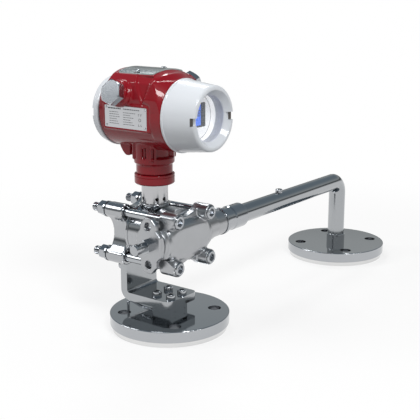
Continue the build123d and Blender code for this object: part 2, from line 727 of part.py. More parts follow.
def tube_sleeve():
    """Socket that joins the cast cone to the tube, with a ring at its root."""
    sleeve_r = SLEEVE_D / 2
    ring_r = SLEEVE_RING_D / 2
    body = turned_y([
        (CONE_END_Y, 0), (CONE_END_Y, ring_r, 1.0), (CONE_END_Y + SLEEVE_RING_L, ring_r, 1.0),
        (CONE_END_Y + SLEEVE_RING_L, sleeve_r - 1.0), (SLEEVE_STEP_Y - 3, sleeve_r - 1.0),
        (SLEEVE_STEP_Y, sleeve_r), (SLEEVE_END_Y, sleeve_r, 1.5), (SLEEVE_END_Y, 0)],
        PORT_X, AXIS_Z)
    body -= rod_y(SLEEVE_END_Y - SLEEVE_SOCKET, SLEEVE_END_Y + 1, TUBE_OD + 2 * THREAD_CLEAR,
                  PORT_X, AXIS_Z)
    body -= rod_y(CONE_END_Y - 1, SLEEVE_END_Y, OIL_BORE_D, PORT_X, AXIS_Z)
    return body


def remote_tube():
    """Tube from the sleeve to the far flange, turned down in one bend."""
    start = Vector(PORT_X, SLEEVE_END_Y - SLEEVE_SOCKET, AXIS_Z)
    corner = Vector(PORT_X, FLANGE_SPACING, AXIS_Z)
    foot = Vector(PORT_X, FLANGE_SPACING, FLANGE_H)
    path = FilletPolyline(start, corner, foot, radius=TUBE_BEND_R)
    section = Plane(origin=start, z_dir=(0, 1, 0)) * (
        Circle(TUBE_OD / 2) - Circle(TUBE_OD / 2 - TUBE_WALL))
    tube = sweep(section, path=path)
    return tube - rod_z(AXIS_Z, AXIS_Z + TUBE_OD, FILL_PLUG_D / 2, PORT_X, FILL_PLUG_Y)


def fill_plug():
    """Filling screw on top of the tube: a button over a small collar."""
    top = AXIS_Z + TUBE_OD / 2
    button_r = FILL_PLUG_D / 2
    plug = turned_z([
        (top + 0.6, 0), (top + 0.6, button_r - 1.2), (top + 1.4, button_r - 1.2),
        (top + 1.4, button_r, 0.4), (top + FILL_PLUG_H, button_r, 1.2), (top + FILL_PLUG_H, 0)])
    shank = rod_z(top - TUBE_WALL, top + 1, FILL_PLUG_D / 2 - 2 * THREAD_CLEAR)
    saddle = rod_z(top - 2, top + 0.6, FILL_PLUG_D) - rod_y(-FILL_PLUG_D, FILL_PLUG_D, TUBE_OD, 0, AXIS_Z)
    socket = Pos(0, 0, top + FILL_PLUG_H) * extrude(RegularPolygon(2, 6), -2)
    return Pos(PORT_X, FILL_PLUG_Y, 0) * (plug + shank + saddle - socket)


def capillary():
    """Thin oil tube from the seal block, round behind the bracket, to the cell."""
    points = [
        Vector(-BLOCK_SIDE / 2 + CAPILLARY_SEAT, 0, CAPILLARY_Z),
        Vector(CAPILLARY_TURN_X, 0, CAPILLARY_Z),
        Vector(CAPILLARY_X, CAPILLARY_Y, CAPILLARY_Z),
        Vector(CAPILLARY_X, CAPILLARY_Y, CAPILLARY_PORT_Z),
        Vector(LEFT_WEB_X - GLAND_H + CAPILLARY_SEAT, CAPILLARY_Y, CAPILLARY_PORT_Z)]
    path = FilletPolyline(*points, radius=[2 * CAPILLARY_BEND_R, CAPILLARY_BEND_R, CAPILLARY_BEND_R])
    section = Plane(origin=points[0], z_dir=(-1, 0, 0)) * Circle(CAPILLARY_D / 2)
    return sweep(section, path=path)


def capillary_gland():
    nut = hex_prism(GLAND_AF, GLAND_H) - rod_z(-1, GLAND_H + 1, CAPILLARY_D + 2 * THREAD_CLEAR)
    return along(nut, (LEFT_WEB_X, CAPILLARY_Y, CAPILLARY_PORT_Z), (-1, 0, 0))


def neck_tube():
    """Neck with three breather holes, a shoulder and the spigot that the head turns on."""
    foot = COLLAR_TOP - COLLAR_SEAT
    groove = LOCK_SCREW_D / 2 + BODY_GAP
    spigot_r = SPIGOT_D / 2
    body = turned_z([
        (foot, NECK_BORE_D / 2), (foot, NECK_D / 2), (NECK_SHOULDER_Z, NECK_D / 2, 0.5),
        (NECK_SHOULDER_Z, spigot_r), (LOCK_SCREW_Z - groove, spigot_r),
        (LOCK_SCREW_Z - groove, spigot_r - LOCK_GROOVE_DEPTH),
        (LOCK_SCREW_Z + groove, spigot_r - LOCK_GROOVE_DEPTH), (LOCK_SCREW_Z + groove, spigot_r),
        (SPIGOT_TOP, spigot_r, 1.0), (SPIGOT_TOP, NECK_BORE_D / 2)], NECK_X, 0)
    for angle in (-113, -41, -7):
        drill = along(Cylinder(NECK_HOLE_D / 2, NECK_D, align=(Align.CENTER, Align.CENTER, Align.MIN)),
                      (NECK_X, 0, NECK_HOLE_Z), (cos(radians(angle)), sin(radians(angle)), 0))
        body -= drill
    return body


def lock_ring():
    """Jam ring below the head, with one turned line near its top."""
    ring_r = LOCK_RING_D / 2
    top = NECK_SHOULDER_Z + LOCK_RING_H
    line = NECK_SHOULDER_Z + LOCK_RING_H * 0.72
    return turned_z([
        (NECK_SHOULDER_Z, SPIGOT_D / 2 + THREAD_CLEAR), (NECK_SHOULDER_Z, ring_r - 1.5),
        (NECK_SHOULDER_Z + 1.5, ring_r), (line, ring_r), (line + 0.4, ring_r - 0.5),
        (line + 0.8, ring_r), (top, ring_r, 0.6), (top, SPIGOT_D / 2 + THREAD_CLEAR)], NECK_X, 0)


def head_lock_screw():
    """Set screw at the back of the head's collar; its tip runs in the spigot's groove."""
    tip_r = SPIGOT_D / 2 - LOCK_GROOVE_DEPTH + BODY_GAP
    length = WAIST_D / 2 - tip_r
    screw = Cylinder(LOCK_SCREW_D / 2, length, align=(Align.CENTER, Align.CENTER, Align.MAX))
    socket = extrude(RegularPolygon(LOCK_SCREW_D / 4, 6), -LOCK_SCREW_D / 2)
    return along(screw - socket, (NECK_X - WAIST_D / 2, 0, LOCK_SCREW_Z), (-1, 0, 0))


def shoulders(rise):
    """Arched shoulders of the head about its own axis at z = 0, raised all over by one rise."""
    arch_z = SADDLE_CROWN_Z - SADDLE_ARCH_R
    half = [(SADDLE_HALF_W, SADDLE_SHOULDER_Z), (SADDLE_FACET_Y, SADDLE_FACET_Z),
            (SADDLE_FLANK_Y, SADDLE_FLANK_Z), (SADDLE_FLANK_Y, SADDLE_LOW_Z)]
    right = [(y + rise, z + rise / 2) for y, z in half[:3]] + [(half[3][0] + rise, half[3][1])]
    left = [(-y, z) for y, z in reversed(right)]
    over = SADDLE_CROWN_Z + 2 * SADDLE_RISE
    section = outline(left + [(-SADDLE_HALF_W, over), (SADDLE_HALF_W, over)] + right)
    prism = Pos(HEAD_BACK_X, 0, 0) * extrude(Plane.YZ * section, HEAD_FRONT_X - HEAD_BACK_X)
    prism &= rod_x(HEAD_BACK_X, HEAD_FRONT_X, 2 * (SADDLE_ARCH_R + rise / 2), 0, arch_z)
    ends = turned_x([
        (HEAD_BACK_X, 0), (HEAD_BACK_X, HEAD_D / 2), (SHOULDER_BACK_X, CONE_TOP_R),
        (SHOULDER_FRONT_X, CONE_TOP_R), (HEAD_FRONT_X, HEAD_D / 2 + rise / 4), (HEAD_FRONT_X, 0)])
    return prism & ends


def front_band():
    """The raised band beside the display cap, bounded behind by a leaning edge."""
    reach = 2 * HEAD_D
    side = extrude(Plane.XZ * outline([
        (BAND_LOW_X, -HEAD_D), (BAND_LOW_X, BAND_STEP_Z - 4), (BAND_STEP_X, BAND_STEP_Z),
        (BAND_TOP_X, SADDLE_SHOULDER_Z), (BAND_TOP_X + 2, HEAD_D), (HEAD_FRONT_X, HEAD_D),
        (HEAD_FRONT_X, -HEAD_D)]), reach, both=True)
    drum = rod_x(BAND_STEP_X, HEAD_FRONT_X, HEAD_D + BAND_RISE, 0, 0)
    return (shoulders(BAND_RISE) + drum) & side


def conduit_axis(place):
    """The outward direction of a conduit entry, tilted up on its own side."""
    side = 1 if place[1] > 0 else -1
    tilt = radians(CONDUIT_TILT)
    return Vector(0, side * cos(tilt), sin(tilt))


def conduit_root(place):
    """The middle of the entry's end face, where the plug's hexagon seats."""
    return Vector(*place) - conduit_axis(place) * PLUG_H


def conduit_boss(place):
    step = turned_z([
        (-CONDUIT_REACH, 0), (-CONDUIT_REACH, CONDUIT_RING_D / 2),
        (-CONDUIT_STEP_L, CONDUIT_RING_D / 2, 1.0), (-CONDUIT_STEP_L, CONDUIT_STEP_D / 2),
        (0, CONDUIT_STEP_D / 2, 1.5), (0, 0)])
    return along(step, conduit_root(place), conduit_axis(place))


def conduit_bore(place):
    hole = rod_z(-CONDUIT_REACH - 6, 1, CONDUIT_D + 2 * THREAD_CLEAR)
    return along(hole, conduit_root(place), conduit_axis(place))


def conduit_plug(place, turn):
    """Hexagon blanking plug with a threaded shank."""
    shank = Cylinder(CONDUIT_D / 2, PLUG_SHANK, align=(Align.CENTER, Align.CENTER, Align.MAX))
    plug = hex_prism(PLUG_AF, PLUG_H, turn) + shank
    return Pos(0, 0, HEAD_Z) * along(plug, conduit_root(place), conduit_axis(place))


def chamber_cuts():
    """The display and terminal chambers, their cap threads and seal steps."""
    seal_r = THREAD_R + THREAD_RUN + SEAL_GROOVE
    front = turned_x([
        (PARTITION_FRONT_X, 0), (PARTITION_FRONT_X, CHAMBER_R, 2.0),
        (HEAD_FRONT_X - THREAD_LEN, CHAMBER_R), (HEAD_FRONT_X - THREAD_LEN, THREAD_R + THREAD_RUN),
        (HEAD_FRONT_X - SEAL_GROOVE, THREAD_R + THREAD_RUN), (HEAD_FRONT_X - SEAL_GROOVE, seal_r),
        (HEAD_FRONT_X + 1, seal_r), (HEAD_FRONT_X + 1, 0)])
    back = turned_x([
        (PARTITION_BACK_X, 0), (PARTITION_BACK_X, CHAMBER_R, 2.0),
        (HEAD_BACK_X + THREAD_LEN, CHAMBER_R), (HEAD_BACK_X + THREAD_LEN, THREAD_R + THREAD_RUN),
        (HEAD_BACK_X + SEAL_GROOVE, THREAD_R + THREAD_RUN), (HEAD_BACK_X + SEAL_GROOVE, seal_r),
        (HEAD_BACK_X - 1, seal_r), (HEAD_BACK_X - 1, 0)])
    return front, back


def name_panel():
    """Flat pad for the name plate, sunk by one step inside its border."""
    pad = block(PANEL_X0 - PANEL_BORDER, PANEL_X1 + PANEL_BORDER, PANEL_FACE_Y, -HEAD_D / 4,
                PANEL_Z0 - PANEL_BORDER, PANEL_Z1 + PANEL_BORDER)
    pad = chamfer(pad.edges().group_by(Axis.Y)[0], 1.2)
    pocket = block(PANEL_X0, PANEL_X1, PANEL_FACE_Y - 1, PANEL_FACE_Y + PANEL_STEP,
                   PANEL_Z0, PANEL_Z1)
    return pad, pocket


def ground_lug():
    lug = block(GROUND_X - GROUND_W / 2, GROUND_X + GROUND_W / 2, GROUND_Y, GROUND_Y + GROUND_T,
                -GROUND_DROP, -HEAD_D / 4)
    return fillet(lug.edges().filter_by(Axis.Y).group_by(Axis.Z)[0], GROUND_W / 3)


def collar_ribs():
    """Short stiffening ribs between the collar and the barrel."""
    ribs = []
    for angle in (-150, -125, -55, 55, 125):
        rib = block(HEAD_RING_D / 2 - 8, RIB_REACH, -RIB_T / 2, RIB_T / 2,
                    WAIST_TOP + RIB_ROOT - HEAD_Z, -HEAD_D / 4)
        ribs.append(Pos(NECK_X, 0, 0) * Rot(0, 0, angle) * rib)
    return ribs


def head_housing():
    """Two-chamber housing with its shoulders, conduit bosses, name panel and collar."""
    ring_bottom = WAIST_TOP - HEAD_Z
    waist_bottom = NECK_SHOULDER_Z + LOCK_RING_H + BODY_GAP - HEAD_Z
    body = rod_x(HEAD_BACK_X, HEAD_FRONT_X, HEAD_D) + shoulders(0.0) + front_band()
    for place in (CONDUIT_NEAR, CONDUIT_FAR):
        body += conduit_boss(place)
    pad, pocket = name_panel()
    body += pad
    body += turned_z([
        (waist_bottom, 0), (waist_bottom, WAIST_D / 2, 0.8), (ring_bottom, WAIST_D / 2),
        (ring_bottom, HEAD_RING_D / 2, 0.8), (-HEAD_D / 4, HEAD_RING_D / 2), (-HEAD_D / 4, 0)],
        NECK_X, 0)
    for rib in collar_ribs():
        body += rib
    body += ground_lug()
    body -= pocket
    front, back = chamber_cuts()
    body = body - front - back
    for place in (CONDUIT_NEAR, CONDUIT_FAR):
        body -= conduit_bore(place)
    body -= rod_z(waist_bottom - 1, SPIGOT_TOP + 1 - HEAD_Z, SPIGOT_D + 2 * SPIGOT_RUN, NECK_X, 0)
    body -= rod_z(SPIGOT_TOP - HEAD_Z, -CHAMBER_R + WIRE_HOLE_D, WIRE_HOLE_D, NECK_X, 0)
    body -= rod_x(NECK_X - WAIST_D, NECK_X, LOCK_SCREW_D + 2 * THREAD_CLEAR, 0, LOCK_SCREW_Z - HEAD_Z)
    body -= rod_y(GROUND_Y + 4, GROUND_Y + GROUND_T + 1, GROUND_SCREW_D + 2 * THREAD_CLEAR,
                  GROUND_X, GROUND_SEAT - GROUND_DROP)
    for x in button_places():
        body -= rod_z(SADDLE_CROWN_Z - BUTTON_L - BUTTON_TRAVEL - 1, SADDLE_CROWN_Z + 1,
                      BUTTON_D + 2 * BUTTON_RUN, x, 0)
    for side in (-1, 1):
        body -= rod_z(SADDLE_SHOULDER_Z - 6, SADDLE_CROWN_Z + 1, 3 + 2 * THREAD_CLEAR,
                      COVER_MID_X, side * COVER_SCREW_Y)
    for x, z in rivet_places():
        body -= rod_y(PANEL_FACE_Y - 1, PANEL_FACE_Y + 4, RIVET_D / 2 + 2 * THREAD_CLEAR, x, z)
    return Pos(0, 0, HEAD_Z) * body


def button_places():
    return [COVER_MID_X - BUTTON_SPREAD / 2, COVER_MID_X + BUTTON_SPREAD / 2]


def adjust_button(x):
    """Spring-loaded plunger whose top ends just under the cover plate."""
    top = HEAD_Z + SADDLE_CROWN_Z - BODY_GAP
    return turned_z([(top - BUTTON_L, 0), (top - BUTTON_L, BUTTON_D / 2), (top, BUTTON_D / 2, 0.4),
                     (top, 0)], x, 0)


def top_plate():
    """Thin cover rolled to the arch of the shoulders."""
    arch_z = SADDLE_CROWN_Z - SADDLE_ARCH_R
    sheet = rod_x(COVER_X0, COVER_X1, 2 * (SADDLE_ARCH_R + COVER_T), 0, arch_z)
    sheet -= rod_x(COVER_X0 - 1, COVER_X1 + 1, 2 * (SADDLE_ARCH_R + COVER_SEAT), 0, arch_z)
    blank = block(COVER_X0, COVER_X1, -COVER_HALF_W, COVER_HALF_W, 0, SADDLE_CROWN_Z + 10)
    blank = fillet(blank.edges().filter_by(Axis.Z), COVER_CORNER_R)
    sheet &= blank
    for side in (-1, 1):
        sheet -= rod_z(0, SADDLE_CROWN_Z + 10, 3 + 2 * BOLT_HOLE_CLEAR, COVER_MID_X,
                       side * COVER_SCREW_Y)
    return Pos(0, 0, HEAD_Z) * sheet


def top_plate_screws():
    screws = []
    arch_z = SADDLE_CROWN_Z - SADDLE_ARCH_R
    lean = COVER_SCREW_Y / (SADDLE_ARCH_R + COVER_T)
    seat_z = arch_z + (SADDLE_ARCH_R + COVER_T) * sqrt(1 - lean ** 2)
    for side in (-1, 1):
        cap = turned_z([(0.1, 0), (0.1, COVER_SCREW_D / 2), (COVER_SCREW_H, COVER_SCREW_D / 2, 1.8),
                        (COVER_SCREW_H, 0)])
        tilted = along(cap, (0, 0, 0), (0, side * lean, sqrt(1 - lean ** 2)))
        shank = rod_z(-6, 1, 3)
        place = Pos(COVER_MID_X, side * COVER_SCREW_Y, HEAD_Z + seat_z)
        screws.append(place * (tilted + shank))
    return Compound(children=screws)


def rivet_places():
    return [(x, z) for x in (PANEL_X0 + RIVET_INSET, PANEL_X1 - RIVET_INSET)
            for z in (PANEL_Z0 + RIVET_INSET, PANEL_Z1 - RIVET_INSET)]


def nameplate():
    edge = 0.3
    plate = block(PANEL_X0 + edge, PANEL_X1 - edge, PANEL_FACE_Y + PANEL_STEP - PLATE_T,
                  PANEL_FACE_Y + PANEL_STEP, PANEL_Z0 + edge, PANEL_Z1 - edge)
    plate = fillet(plate.edges().filter_by(Axis.Y), 1.0)
    for x, z in rivet_places():
        plate -= rod_y(PANEL_FACE_Y - 1, PANEL_FACE_Y + 4, RIVET_D / 2 + 2 * THREAD_CLEAR, x, z)
    return Pos(0, 0, HEAD_Z) * plate


def nameplate_rivets():
    rivets = []
    face = PANEL_FACE_Y + PANEL_STEP - PLATE_T
    for x, z in rivet_places():
        dome = turned_z([(0, 0), (0, RIVET_D / 2), (0.7, RIVET_D / 2, 0.5), (0.7, 0)])
        pin = rod_z(-3, 0.3, RIVET_D / 2)
        rivets.append(along(dome + pin, (x, face, HEAD_Z + z), (0, -1, 0)))
    return Compound(children=rivets)


def cap_notches(x0, x1, inner_r):
    """Two wrench notches cut radially through the cap's rim, left and right."""
    cuts = []
    for side in (-1, 1):
        cuts.append(block(x0, x1, side * inner_r, side * CAP_LIP_D,
                          HEAD_Z - NOTCH_H / 2, HEAD_Z + NOTCH_H / 2))
    return cuts


def display_cap():
    """Front cap: a tapered barrel with a coned window mouth and a threaded skirt."""
    barrel_x = FRONT_LIP_X + CAP_LIP_T
    lip_back = WINDOW_LIP_X - WINDOW_LIP_T
    cap = turned_x([
        (FRONT_LIP_X - CAP_SKIRT_L, CAP_BORE_D / 2), (FRONT_LIP_X - CAP_SKIRT_L, THREAD_R),
        (FRONT_LIP_X, THREAD_R), (FRONT_LIP_X, CAP_LIP_D / 2, 0.8), (barrel_x, CAP_LIP_D / 2, 0.8),
        (barrel_x + 1.0, CAP_BARREL_D / 2), (FRONT_CAP_FACE_X, FRONT_CAP_FACE_D / 2, FRONT_CAP_EDGE_R),
        (FRONT_CAP_FACE_X, WINDOW_MOUTH_D / 2, 1.2), (WINDOW_LIP_X, WINDOW_D / 2),
        (lip_back, WINDOW_D / 2), (lip_back, RETAINER_OD / 2 + THREAD_CLEAR),
        (RETAINER_X0 - 1, RETAINER_OD / 2 + THREAD_CLEAR), (RETAINER_X0 - 1, CAP_BORE_D / 2)],
        0, HEAD_Z)
    for cut in cap_notches(FRONT_CAP_FACE_X - NOTCH_DEPTH, FRONT_CAP_FACE_X + 1, WINDOW_D / 2 - 1):
        cap -= cut
    return cap


def terminal_cap():
    """Rear cap: a plain closed cover with the same skirt."""
    barrel_x = REAR_LIP_X - CAP_LIP_T
    floor_x = REAR_CAP_FACE_X + REAR_CAP_WALL
    cap = turned_x([
        (REAR_LIP_X + CAP_SKIRT_L, CAP_BORE_D / 2), (REAR_LIP_X + CAP_SKIRT_L, THREAD_R),
        (REAR_LIP_X, THREAD_R), (REAR_LIP_X, CAP_LIP_D / 2, 0.8), (barrel_x, CAP_LIP_D / 2, 0.8),
        (barrel_x - 1.0, CAP_BARREL_D / 2), (REAR_CAP_FACE_X, REAR_CAP_FACE_D / 2, 3.0),
        (REAR_CAP_FACE_X, 0), (floor_x, 0), (floor_x, CAP_BORE_D / 2, 2.0)], 0, HEAD_Z)
    for cut in cap_notches(REAR_CAP_FACE_X - 1, REAR_CAP_FACE_X + REAR_NOTCH_DEPTH, CAP_BORE_D / 2):
        cap -= cut
    return cap


def cap_seal(lip_x, side):
    """Rubber ring in the step of the housing's mouth, round the cap's skirt."""
    cord_r = SEAL_RING_CORD / 2
    ring_x = lip_x - side * (BODY_GAP + SEAL_GROOVE_CLEAR + cord_r)
    ring_r = THREAD_R + SEAL_GROOVE_CLEAR + cord_r
    return Pos(ring_x, 0, HEAD_Z) * Rot(0, 90, 0) * Torus(ring_r, cord_r)


def window_retainer():
    ring = rod_x(RETAINER_X0, RETAINER_X0 + RETAINER_L, RETAINER_OD, 0, HEAD_Z)
    return ring - rod_x(RETAINER_X0 - 1, RETAINER_X0 + RETAINER_L + 1, WINDOW_D, 0, HEAD_Z)


def display_window():
    glass = rod_x(RETAINER_X0 + GLASS_INSET, RETAINER_X0 + GLASS_INSET + GLASS_T,
                  WINDOW_D - 2 * GLASS_FIT, 0, HEAD_Z)
    return chamfer(glass.edges().filter_by(GeomType.CIRCLE), 0.4)


def electronics_module():
    """Potted drum on the partition, with three posts for the display board."""
    drum = turned_x([
        (PARTITION_FRONT_X, 0), (PARTITION_FRONT_X, MODULE_D / 2, 1.5),
        (MODULE_FRONT_X, MODULE_D / 2, 1.5), (MODULE_FRONT_X, 0)], 0, HEAD_Z)
    for angle in (90, 210, 330):
        y = POST_CIRCLE / 2 * cos(radians(angle))
        z = POST_CIRCLE / 2 * sin(radians(angle))
        drum += rod_x(MODULE_FRONT_X - 1, BOARD_X, POST_D, y, HEAD_Z + z)
    return drum


def display_board():
    return rod_x(BOARD_X, BOARD_X + BOARD_T, BOARD_D, 0, HEAD_Z)


def screen_box(x0, x1, width, height):
    middle = HEAD_Z + SCREEN_Z
    return block(x0, x1, -width / 2, width / 2, middle - height / 2, middle + height / 2)


def display_panel():
    face_x = BOARD_X + BOARD_T
    return screen_box(face_x, face_x + SCREEN_T, SCREEN_W, SCREEN_H)


def display_frame():
    back_x = BOARD_X + BOARD_T + SCREEN_T
    frame = screen_box(back_x, back_x + FRAME_T, FRAME_W, FRAME_H)
    frame = fillet(frame.edges().filter_by(Axis.X), 1.5)
    window = screen_box(back_x - 1, back_x + FRAME_T + 1, FRAME_OPEN_W, FRAME_OPEN_H)
    return frame - fillet(window.edges().filter_by(Axis.X), 0.8)


def display_bezel():
    """White dial plate with an upturned rim, a turned line and feet on the board."""
    back_x = BEZEL_FACE_X - BEZEL_T
    bezel_r = BEZEL_D / 2
    line_r = BEZEL_LINE_D / 2
    dial = turned_x([
        (back_x, 0), (back_x, bezel_r), (BEZEL_FACE_X + BEZEL_RIM_H, bezel_r),
        (BEZEL_FACE_X + BEZEL_RIM_H, bezel_r - BEZEL_RIM_T),
        (BEZEL_FACE_X, bezel_r - BEZEL_RIM_T, 0.8), (BEZEL_FACE_X, line_r + BEZEL_LINE_W),
        (BEZEL_FACE_X - 0.6, line_r + BEZEL_LINE_W), (BEZEL_FACE_X - 0.6, line_r),
        (BEZEL_FACE_X, line_r), (BEZEL_FACE_X, 0)], 0, HEAD_Z)
    dial -= screen_box(back_x - 1, BEZEL_FACE_X + 1, FRAME_W + 2 * BEZEL_OPEN_CLEAR,
                       FRAME_H + 2 * BEZEL_OPEN_CLEAR)
    for y, z in corner_places(FRAME_W / 2 + 5, FRAME_H / 2 - 2):
        dial += rod_x(BOARD_X + BOARD_T, back_x + 1, POST_D, y, HEAD_Z + z)
    return dial


def terminal_block():
    """Moulded terminal strip with a barrier between each pair of screws."""
    face = PARTITION_BACK_X - TERMINAL_T
    strip = block(face, PARTITION_BACK_X, -TERMINAL_W / 2, TERMINAL_W / 2,
                  HEAD_Z - TERMINAL_H / 2, HEAD_Z + TERMINAL_H / 2)
    strip = fillet(strip.edges().filter_by(Axis.X), 2.0)
    for y in terminal_places():
        strip -= block(face - 1, face + TERMINAL_SLOT_DEPTH, y - TERMINAL_PITCH / 2 + 1,
                       y + TERMINAL_PITCH / 2 - 1, HEAD_Z - TERMINAL_H / 2 - 1,
                       HEAD_Z + TERMINAL_H / 2 - 4)
        strip -= rod_x(face, PARTITION_BACK_X - 2, 3 + 2 * THREAD_CLEAR, y, HEAD_Z)
    return strip


def terminal_places():
    first = -TERMINAL_PITCH * (TERMINAL_COUNT - 1) / 2
    return [first + index * TERMINAL_PITCH for index in range(TERMINAL_COUNT)]


def terminal_screws():
    screws = []
    face = PARTITION_BACK_X - TERMINAL_T + TERMINAL_SLOT_DEPTH
    for y in terminal_places():
        head = turned_z([(0, 0), (0, TERMINAL_SCREW_D / 2), (2.4, TERMINAL_SCREW_D / 2, 0.6), (2.4, 0)])
        slot = block(-TERMINAL_SCREW_D, TERMINAL_SCREW_D, -0.5, 0.5, 1.4, 3)
        screw = head - slot + rod_z(-5, 0.5, 3)
        screws.append(along(screw, (face, y, HEAD_Z), (-1, 0, 0)))
    return Compound(children=screws)


def ground_screw():
    """Earthing screw in the far side of the lug under the barrel."""
    head = turned_z([(0, 0), (0, GROUND_HEAD_D / 2), (GROUND_HEAD_H, GROUND_HEAD_D / 2, 1.0),
                     (GROUND_HEAD_H, 0)])
    slot = block(-GROUND_HEAD_D, GROUND_HEAD_D, -0.7, 0.7, GROUND_HEAD_H - 1.6, GROUND_HEAD_H + 1)
    shank = rod_z(-GROUND_T + 6, 0.5, GROUND_SCREW_D)
    place = (GROUND_X, GROUND_Y + GROUND_T, HEAD_Z - GROUND_DROP + GROUND_SEAT)
    return along(head - slot + shank, place, (0, 1, 0))


def all_nodes():
    membrane_side = ((CELL_X0, 1), (CELL_X1, -1))
    zero_x, span_x = button_places()
    return {
        "base_flange": base_flange(),
        "base_diaphragm": base_diaphragm(),
        "seal_block": seal_block(),
        "block_fill_screws": block_fill_screws(),
        "bracket": bracket(),
        "bracket_screws": bracket_screws(),
        "bracket_rear_screws": bracket_rear_screws(),
        "left_flange": left_flange(),
        "right_flange": right_flange(),
        "sensor_body": sensor_body(),
        "high_side_membrane": cell_membrane(*membrane_side[0]),
        "low_side_membrane": cell_membrane(*membrane_side[1]),
        "left_gasket": gasket(CELL_X0, 1),
        "right_gasket": gasket(CELL_X1, -1),
        "flange_bolts": flange_bolts(),
        "flange_washers": flange_washers(),
        "flange_nuts": flange_nuts(),
        "vent_body": vent_body(),
        "vent_stem": vent_stem(),
        "tube_sleeve": tube_sleeve(),
        "remote_tube": remote_tube(),
        "fill_plug": fill_plug(),
        "remote_flange": remote_flange(),
        "remote_diaphragm": remote_diaphragm(),
        "capillary": capillary(),
        "capillary_gland": capillary_gland(),
        "neck_tube": neck_tube(),
        "lock_ring": lock_ring(),
        "head_lock_screw": head_lock_screw(),
        "head_housing": head_housing(),
        "display_cap": display_cap(),
        "terminal_cap": terminal_cap(),
        "front_cap_seal": cap_seal(FRONT_LIP_X, 1),
        "rear_cap_seal": cap_seal(REAR_LIP_X, -1),
        "window_retainer": window_retainer(),
        "display_window": display_window(),
        "electronics_module": electronics_module(),
        "display_board": display_board(),
        "display_panel": display_panel(),
        "display_frame": display_frame(),
        "display_bezel": display_bezel(),
        "terminal_block": terminal_block(),
        "terminal_screws": terminal_screws(),
        "conduit_plug_front": conduit_plug(CONDUIT_NEAR, 12.0),
        "conduit_plug_rear": conduit_plug(CONDUIT_FAR, 0.0),
        "top_plate": top_plate(),
        "top_plate_screws": top_plate_screws(),
        "zero_button": adjust_button(zero_x),
        "span_button": adjust_button(span_x),
        "nameplate": nameplate(),
        "nameplate_rivets": nameplate_rivets(),
        "ground_screw": ground_screw(),
    }


os.makedirs("parts", exist_ok=True)
for name, solid in all_nodes().items():
    export_step(solid, f"parts/{name}.step")
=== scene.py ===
# %% [markdown]
# # A flanged density meter
# Two process flanges, a clamped pressure cell and a red electronics head are
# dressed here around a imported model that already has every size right.
# The model stays as it is; these cells give it finishes, threads, printing,
# light and a camera. All lengths are in metres, and +Z is up.

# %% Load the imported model
import bmesh
import bpy
import numpy as np
from math import pi, radians
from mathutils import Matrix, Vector


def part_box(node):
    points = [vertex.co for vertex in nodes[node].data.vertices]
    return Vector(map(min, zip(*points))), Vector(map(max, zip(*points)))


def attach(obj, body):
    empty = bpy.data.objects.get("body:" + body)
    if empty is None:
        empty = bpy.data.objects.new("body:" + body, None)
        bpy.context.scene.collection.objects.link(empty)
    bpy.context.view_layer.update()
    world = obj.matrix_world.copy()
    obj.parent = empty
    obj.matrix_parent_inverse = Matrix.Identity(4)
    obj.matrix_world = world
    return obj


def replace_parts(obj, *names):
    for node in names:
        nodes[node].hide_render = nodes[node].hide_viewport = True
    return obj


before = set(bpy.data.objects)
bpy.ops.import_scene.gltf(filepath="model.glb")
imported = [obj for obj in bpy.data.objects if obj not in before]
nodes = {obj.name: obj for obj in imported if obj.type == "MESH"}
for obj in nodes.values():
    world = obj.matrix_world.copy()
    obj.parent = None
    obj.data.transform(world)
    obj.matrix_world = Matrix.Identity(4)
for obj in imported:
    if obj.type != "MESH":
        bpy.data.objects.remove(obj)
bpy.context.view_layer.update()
MM = 0.001

# %% [markdown]
# ## Places that the finishes need
# A turned part shows rings about its own axis, and a print sits on its own
# plate. Each place is read from the node's box, so it follows the model.

# %% Read the places from the nodes
def low_high(name):
    """Lowest and highest corner of a node's box, as arrays."""
    low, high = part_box(name)
    return np.array(low), np.array(high)


def middle(name):
    """Middle of a node's box."""
    low, high = low_high(name)
    return (low + high) / 2


HEAD_AXIS = middle("display_cap")
NECK_AXIS = middle("lock_ring")
FAR_AXIS = middle("remote_flange")
TUBE_AXIS = middle("tube_sleeve")
print("head axis height:", round(HEAD_AXIS[2], 4), "neck x:", round(NECK_AXIS[0], 4))

# %% [markdown]
# ## Node trees as arithmetic
# A roughness is easier to read as `0.2 + 0.1 * grain` than as a dozen linked
# boxes. `Value` wraps a socket and turns + - and * into Math nodes. `Graph`
# adds every other node through one method, and `Finish` is the graph of one
# material with its Principled shader.

# %% A socket that does arithmetic
class Value:
    """A number that varies over a surface: arithmetic on it adds Math nodes."""

    def __init__(self, graph, socket):
        self.graph = graph
        self.socket = socket

    def math(self, operation, *others):
        inputs = dict(enumerate([self, *others]))
        return self.graph.node("ShaderNodeMath", {"operation": operation}, inputs)

    def __add__(self, other):
        return self.math("ADD", other)

    __radd__ = __add__

    def __sub__(self, other):
        return self.math("SUBTRACT", other)

    def __rsub__(self, other):
        return self.graph.node("ShaderNodeMath", {"operation": "SUBTRACT"}, {0: other, 1: self})

    def __mul__(self, other):
        return self.math("MULTIPLY", other)

    __rmul__ = __mul__

    def root(self):
        return self.math("SQRT")

    def larger(self, other):
        """The larger of two numbers; for two masks, where either is on."""
        return self.math("MAXIMUM", other)

    def clamped(self):
        return self.math("MINIMUM", 1.0).larger(0.0)

    def beside(self, output):
        """Another output of the node that this value comes from."""
        return Value(self.graph, self.socket.node.outputs[output])


# %% Graphs and materials
def set_stops(elements, stops):
    """Places a ramp's colours: it comes with two stops, and the others are added."""
    for index, (position, colour) in enumerate(stops):
        if index > 1:
            elements.new(position)
        elements[index].position = position
        elements[index].color = (*colour, 1.0)


